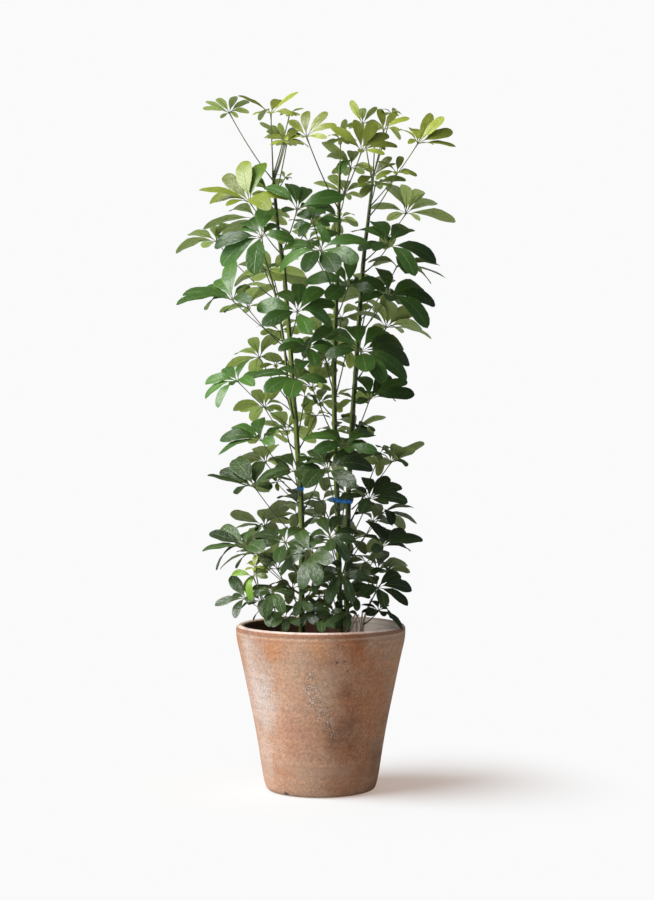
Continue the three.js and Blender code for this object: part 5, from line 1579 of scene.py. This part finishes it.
class PLANT_OT_soil(bpy.types.Operator):
    """Fill the pot with soil and strew its surface with crumbs"""
    bl_idname = "plant.soil"
    bl_label = "Soil"

    def execute(self, context):
        settings = context.scene.plant_soil
        low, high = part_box("soil")
        top, foot = high.z / MM, low.z / MM
        cover = [[radius, top - SOIL_CROWN_DROP + SOIL_CROWN * math.cos(radius / SOIL_CROWN_WIDTH)]
                 for radius in range(120, 0, -8)]
        rim = [SOIL_RADIUS, top - SOIL_RIM_DROP]
        middle = [0, top - SOIL_CROWN_DROP + SOIL_CROWN]
        outline = [[0, foot], [SOIL_FOOT, foot], *SOIL_WALL, rim, *cover, middle]

        def uneven(point):
            if point.z < SOIL_SURFACE_LOW:
                return point
            swell = math.sin(point.x * 97) * math.cos(point.y * 83) + math.sin(point.x * 41 + point.y * 57)
            return point + Vector((0, 0, SOIL_SWELL * swell))

        soil = linked("soil_fill", turned_mesh("soil_fill", outline, SOIL_SEGMENTS, uneven))
        finish = soil_material(settings)
        soil.data.materials.append(finish)
        settle(soil, "soil", "soil")
        bed = [[radius, top - CRUMB_DROP] for radius in CRUMB_RINGS] + [[0, top - CRUMB_BED_DROP]]
        values = {"Density": settings.density, "Crumb size": settings.crumb, "Finish": finish}
        surface = turned_mesh("soil_surface", bed, CRUMB_SEGMENTS)
        crumbs = grown("soil_crumbs", surface, crumbs_tree(), values)
        settle(crumbs, "soil")
        return {"FINISHED"}


class PLANT_OT_stems(bpy.types.Operator):
    """Round the three stems and ring them with leaf scars"""
    bl_idname = "plant.stems"
    bl_label = "Stems"

    def execute(self, context):
        for name in ("left", "middle", "right"):
            paths = Paths()
            add_stem(paths, name)
            make_foliage(context.scene, f"stem_{name}", "bark", paths)
        return {"FINISHED"}


class PLANT_OT_ties(bpy.types.Operator):
    """Wind the blue tape round the stems"""
    bl_idname = "plant.ties"
    bl_label = "Ties"

    def execute(self, context):
        settings = context.scene.plant_tie
        finish = tape_material(settings)
        tree = tape_tree()
        for node, (stems, level, width, tail) in TIES.items():
            points = [point * MM for point in wound(stems, level, tail)]
            mesh = bpy.data.meshes.new(node)
            mesh.from_pydata(points, [(i, i + 1) for i in range(len(points) - 1)], [])
            values = {"Width": width * MM, "Thickness": settings.thickness, "Finish": finish}
            settle(grown(f"{node}_tape", mesh, tree, values), "tie", node)
        return {"FINISHED"}


class PLANT_OT_shoots(bpy.types.Operator):
    """Dress the crowns, the side branch and the low shoots with their fronds"""
    bl_idname = "plant.shoots"
    bl_label = "Crowns and shoots"

    def execute(self, context):
        for stem, (node, slot) in LEAFY_STEMS.items():
            paths = Paths()
            add_stem(paths, stem)
            dress_fronds(context.scene, node, slot, paths)
        return {"FINISHED"}


class PLANT_OT_fronds(bpy.types.Operator):
    """Dress each single frond: a petiole with its whorl of leaflets"""
    bl_idname = "plant.fronds"
    bl_label = "Fronds"

    def execute(self, context):
        slots = {entry["node"]: entry["material_slot"] for entry in frame["record"]["subparts"]}
        for row in FRONDS:
            node = node_of(row)
            if row[1] not in LEAFY_STEMS:
                dress_fronds(context.scene, node, slots[node], Paths())
        return {"FINISHED"}


class PLANT_OT_more(bpy.types.Operator):
    """Add the small and half hidden fronds, and the bare stalks by the soil"""
    bl_idname = "plant.more"
    bl_label = "More fronds"

    def execute(self, context):
        scene = context.scene
        for name, (slot, rows) in MORE_FRONDS.items():
            paths = Paths()
            for number, row in enumerate(rows):
                add_frond(paths, Frond(row, MORE_FIRST_SEED + number), None, scene.plant_stalk)
            for foot, top in BARE_STALKS if slot == "dark_leaf" else []:
                way = [Vector(foot).lerp(Vector(top), share / 6) for share in range(7)]
                paths.add(STALK, way, reach=BARE_STALK_RADIUS, along=1.0, youth=1.0, bright=1.0)
            make_foliage(scene, name, slot, paths, new=True)
        return {"FINISHED"}


def lay_floor(settings):
    """A pale floor that fades into the air behind it."""
    side = settings.floor
    mesh = bpy.data.meshes.new("floor")
    corners = [(-side, -side, 0), (side, -side, 0), (side, side, 0), (-side, side, 0)]
    mesh.from_pydata(corners, [], [(0, 1, 2, 3)])
    material, tree, shader = new_material("Pale floor")
    # Painted light: the camera sees the floor glow. The warm glow lifts its shadow as if lit by the clay, and
    # past the fade start it turns into the backdrop and paints the shadows out.
    far = mapped(length_of(object_place(tree)), settings.fade_start, settings.fade_end)
    to_camera = add_node(tree, "ShaderNodeLightPath").outputs["Is Camera Ray"]
    feed(shader, {"Base Color": mixed(times(far, to_camera), settings.floor_colour, (0, 0, 0)),
                  "Emission Color": mixed(far, settings.floor_glow, settings.backdrop),
                  "Emission Strength": to_camera, "Roughness": 1.0, "Specular IOR Level": 0.0})
    mesh.materials.append(material)
    linked("floor", mesh)


def soft_air(settings):
    """Even light from all round, with a plain backdrop where the camera looks past the plant."""
    world = bpy.data.worlds.new("Soft air")
    world.use_nodes = True
    tree = world.node_tree
    tree.nodes.clear()
    rays = add_node(tree, "ShaderNodeLightPath").outputs
    strength = times(times_plus(rays["Is Glossy Ray"], -settings.less_sheen, 1.0), settings.fill_strength)
    fill = output_of(tree, "ShaderNodeBackground", {0: (*settings.fill, 1), 1: strength})
    backdrop = output_of(tree, "ShaderNodeBackground", {0: (*settings.backdrop, 1), 1: 1.0})
    air = output_of(tree, "ShaderNodeMixShader", {0: rays["Is Camera Ray"], 1: fill, 2: backdrop})
    add_node(tree, "ShaderNodeOutputWorld", {0: air})
    return world


def soft_key(settings):
    lamp = bpy.data.lights.new("key", "SUN")
    lamp.energy = settings.key
    lamp.angle = settings.key_softness
    key = linked("key", lamp)
    flat = math.cos(settings.key_rise)
    towards = Vector((-flat * math.sin(settings.key_turn), -flat * math.cos(settings.key_turn),
                      math.sin(settings.key_rise)))
    key.location = towards * 3
    key.rotation_euler = towards.to_track_quat("Z", "Y").to_euler()


def viewer(settings):
    lens = bpy.data.cameras.new("viewer")
    lens.sensor_fit = "VERTICAL"
    lens.sensor_height = 36
    lens.lens = settings.lens
    lens.shift_y = settings.shift
    camera = linked("viewer", lens)
    camera.location = Vector(EYE) * MM
    camera.rotation_euler = (math.pi / 2, 0, 0)
    return camera


class PLANT_OT_stage(bpy.types.Operator):
    """Lay the pale floor, set the soft lights and aim the camera"""
    bl_idname = "plant.stage"
    bl_label = "Stage"

    def execute(self, context):
        scene = context.scene
        settings = scene.plant_stage
        lay_floor(settings)
        scene.world = soft_air(settings)
        soft_key(settings)
        scene.camera = viewer(settings)
        scene.view_settings.view_transform = "Standard"
        return {"FINISHED"}


class PLANT_PT_panel(bpy.types.Panel):
    """Lists the plant's pieces and their settings"""
    bl_idname = "PLANT_PT_panel"
    bl_label = "Umbrella plant"
    bl_space_type = "VIEW_3D"
    bl_region_type = "UI"
    bl_category = "Umbrella plant"

    def draw(self, context):
        for operator in OPERATORS:
            self.layout.operator(operator.bl_idname)
        for name, group in SETTINGS.items():
            box = self.layout.box()
            box.label(text=group.__name__)
            for label in group.__annotations__:
                box.prop(getattr(context.scene, name), label)


OPERATORS = (PLANT_OT_stage, PLANT_OT_pot, PLANT_OT_soil, PLANT_OT_stems, PLANT_OT_ties, PLANT_OT_shoots,
             PLANT_OT_fronds, PLANT_OT_more)


def register():
    for kind in (*SETTINGS.values(), *OPERATORS, PLANT_PT_panel):
        bpy.utils.register_class(kind)
    for name, group in SETTINGS.items():
        setattr(bpy.types.Scene, name, PointerProperty(type=group))


def unregister():
    for name in SETTINGS:
        delattr(bpy.types.Scene, name)
    for kind in reversed((*SETTINGS.values(), *OPERATORS, PLANT_PT_panel)):
        bpy.utils.unregister_class(kind)


def main():
    register()
    for operator in OPERATORS:
        group, name = operator.bl_idname.split(".")
        getattr(getattr(bpy.ops, group), name)()


if __name__ == "__main__":
    main()
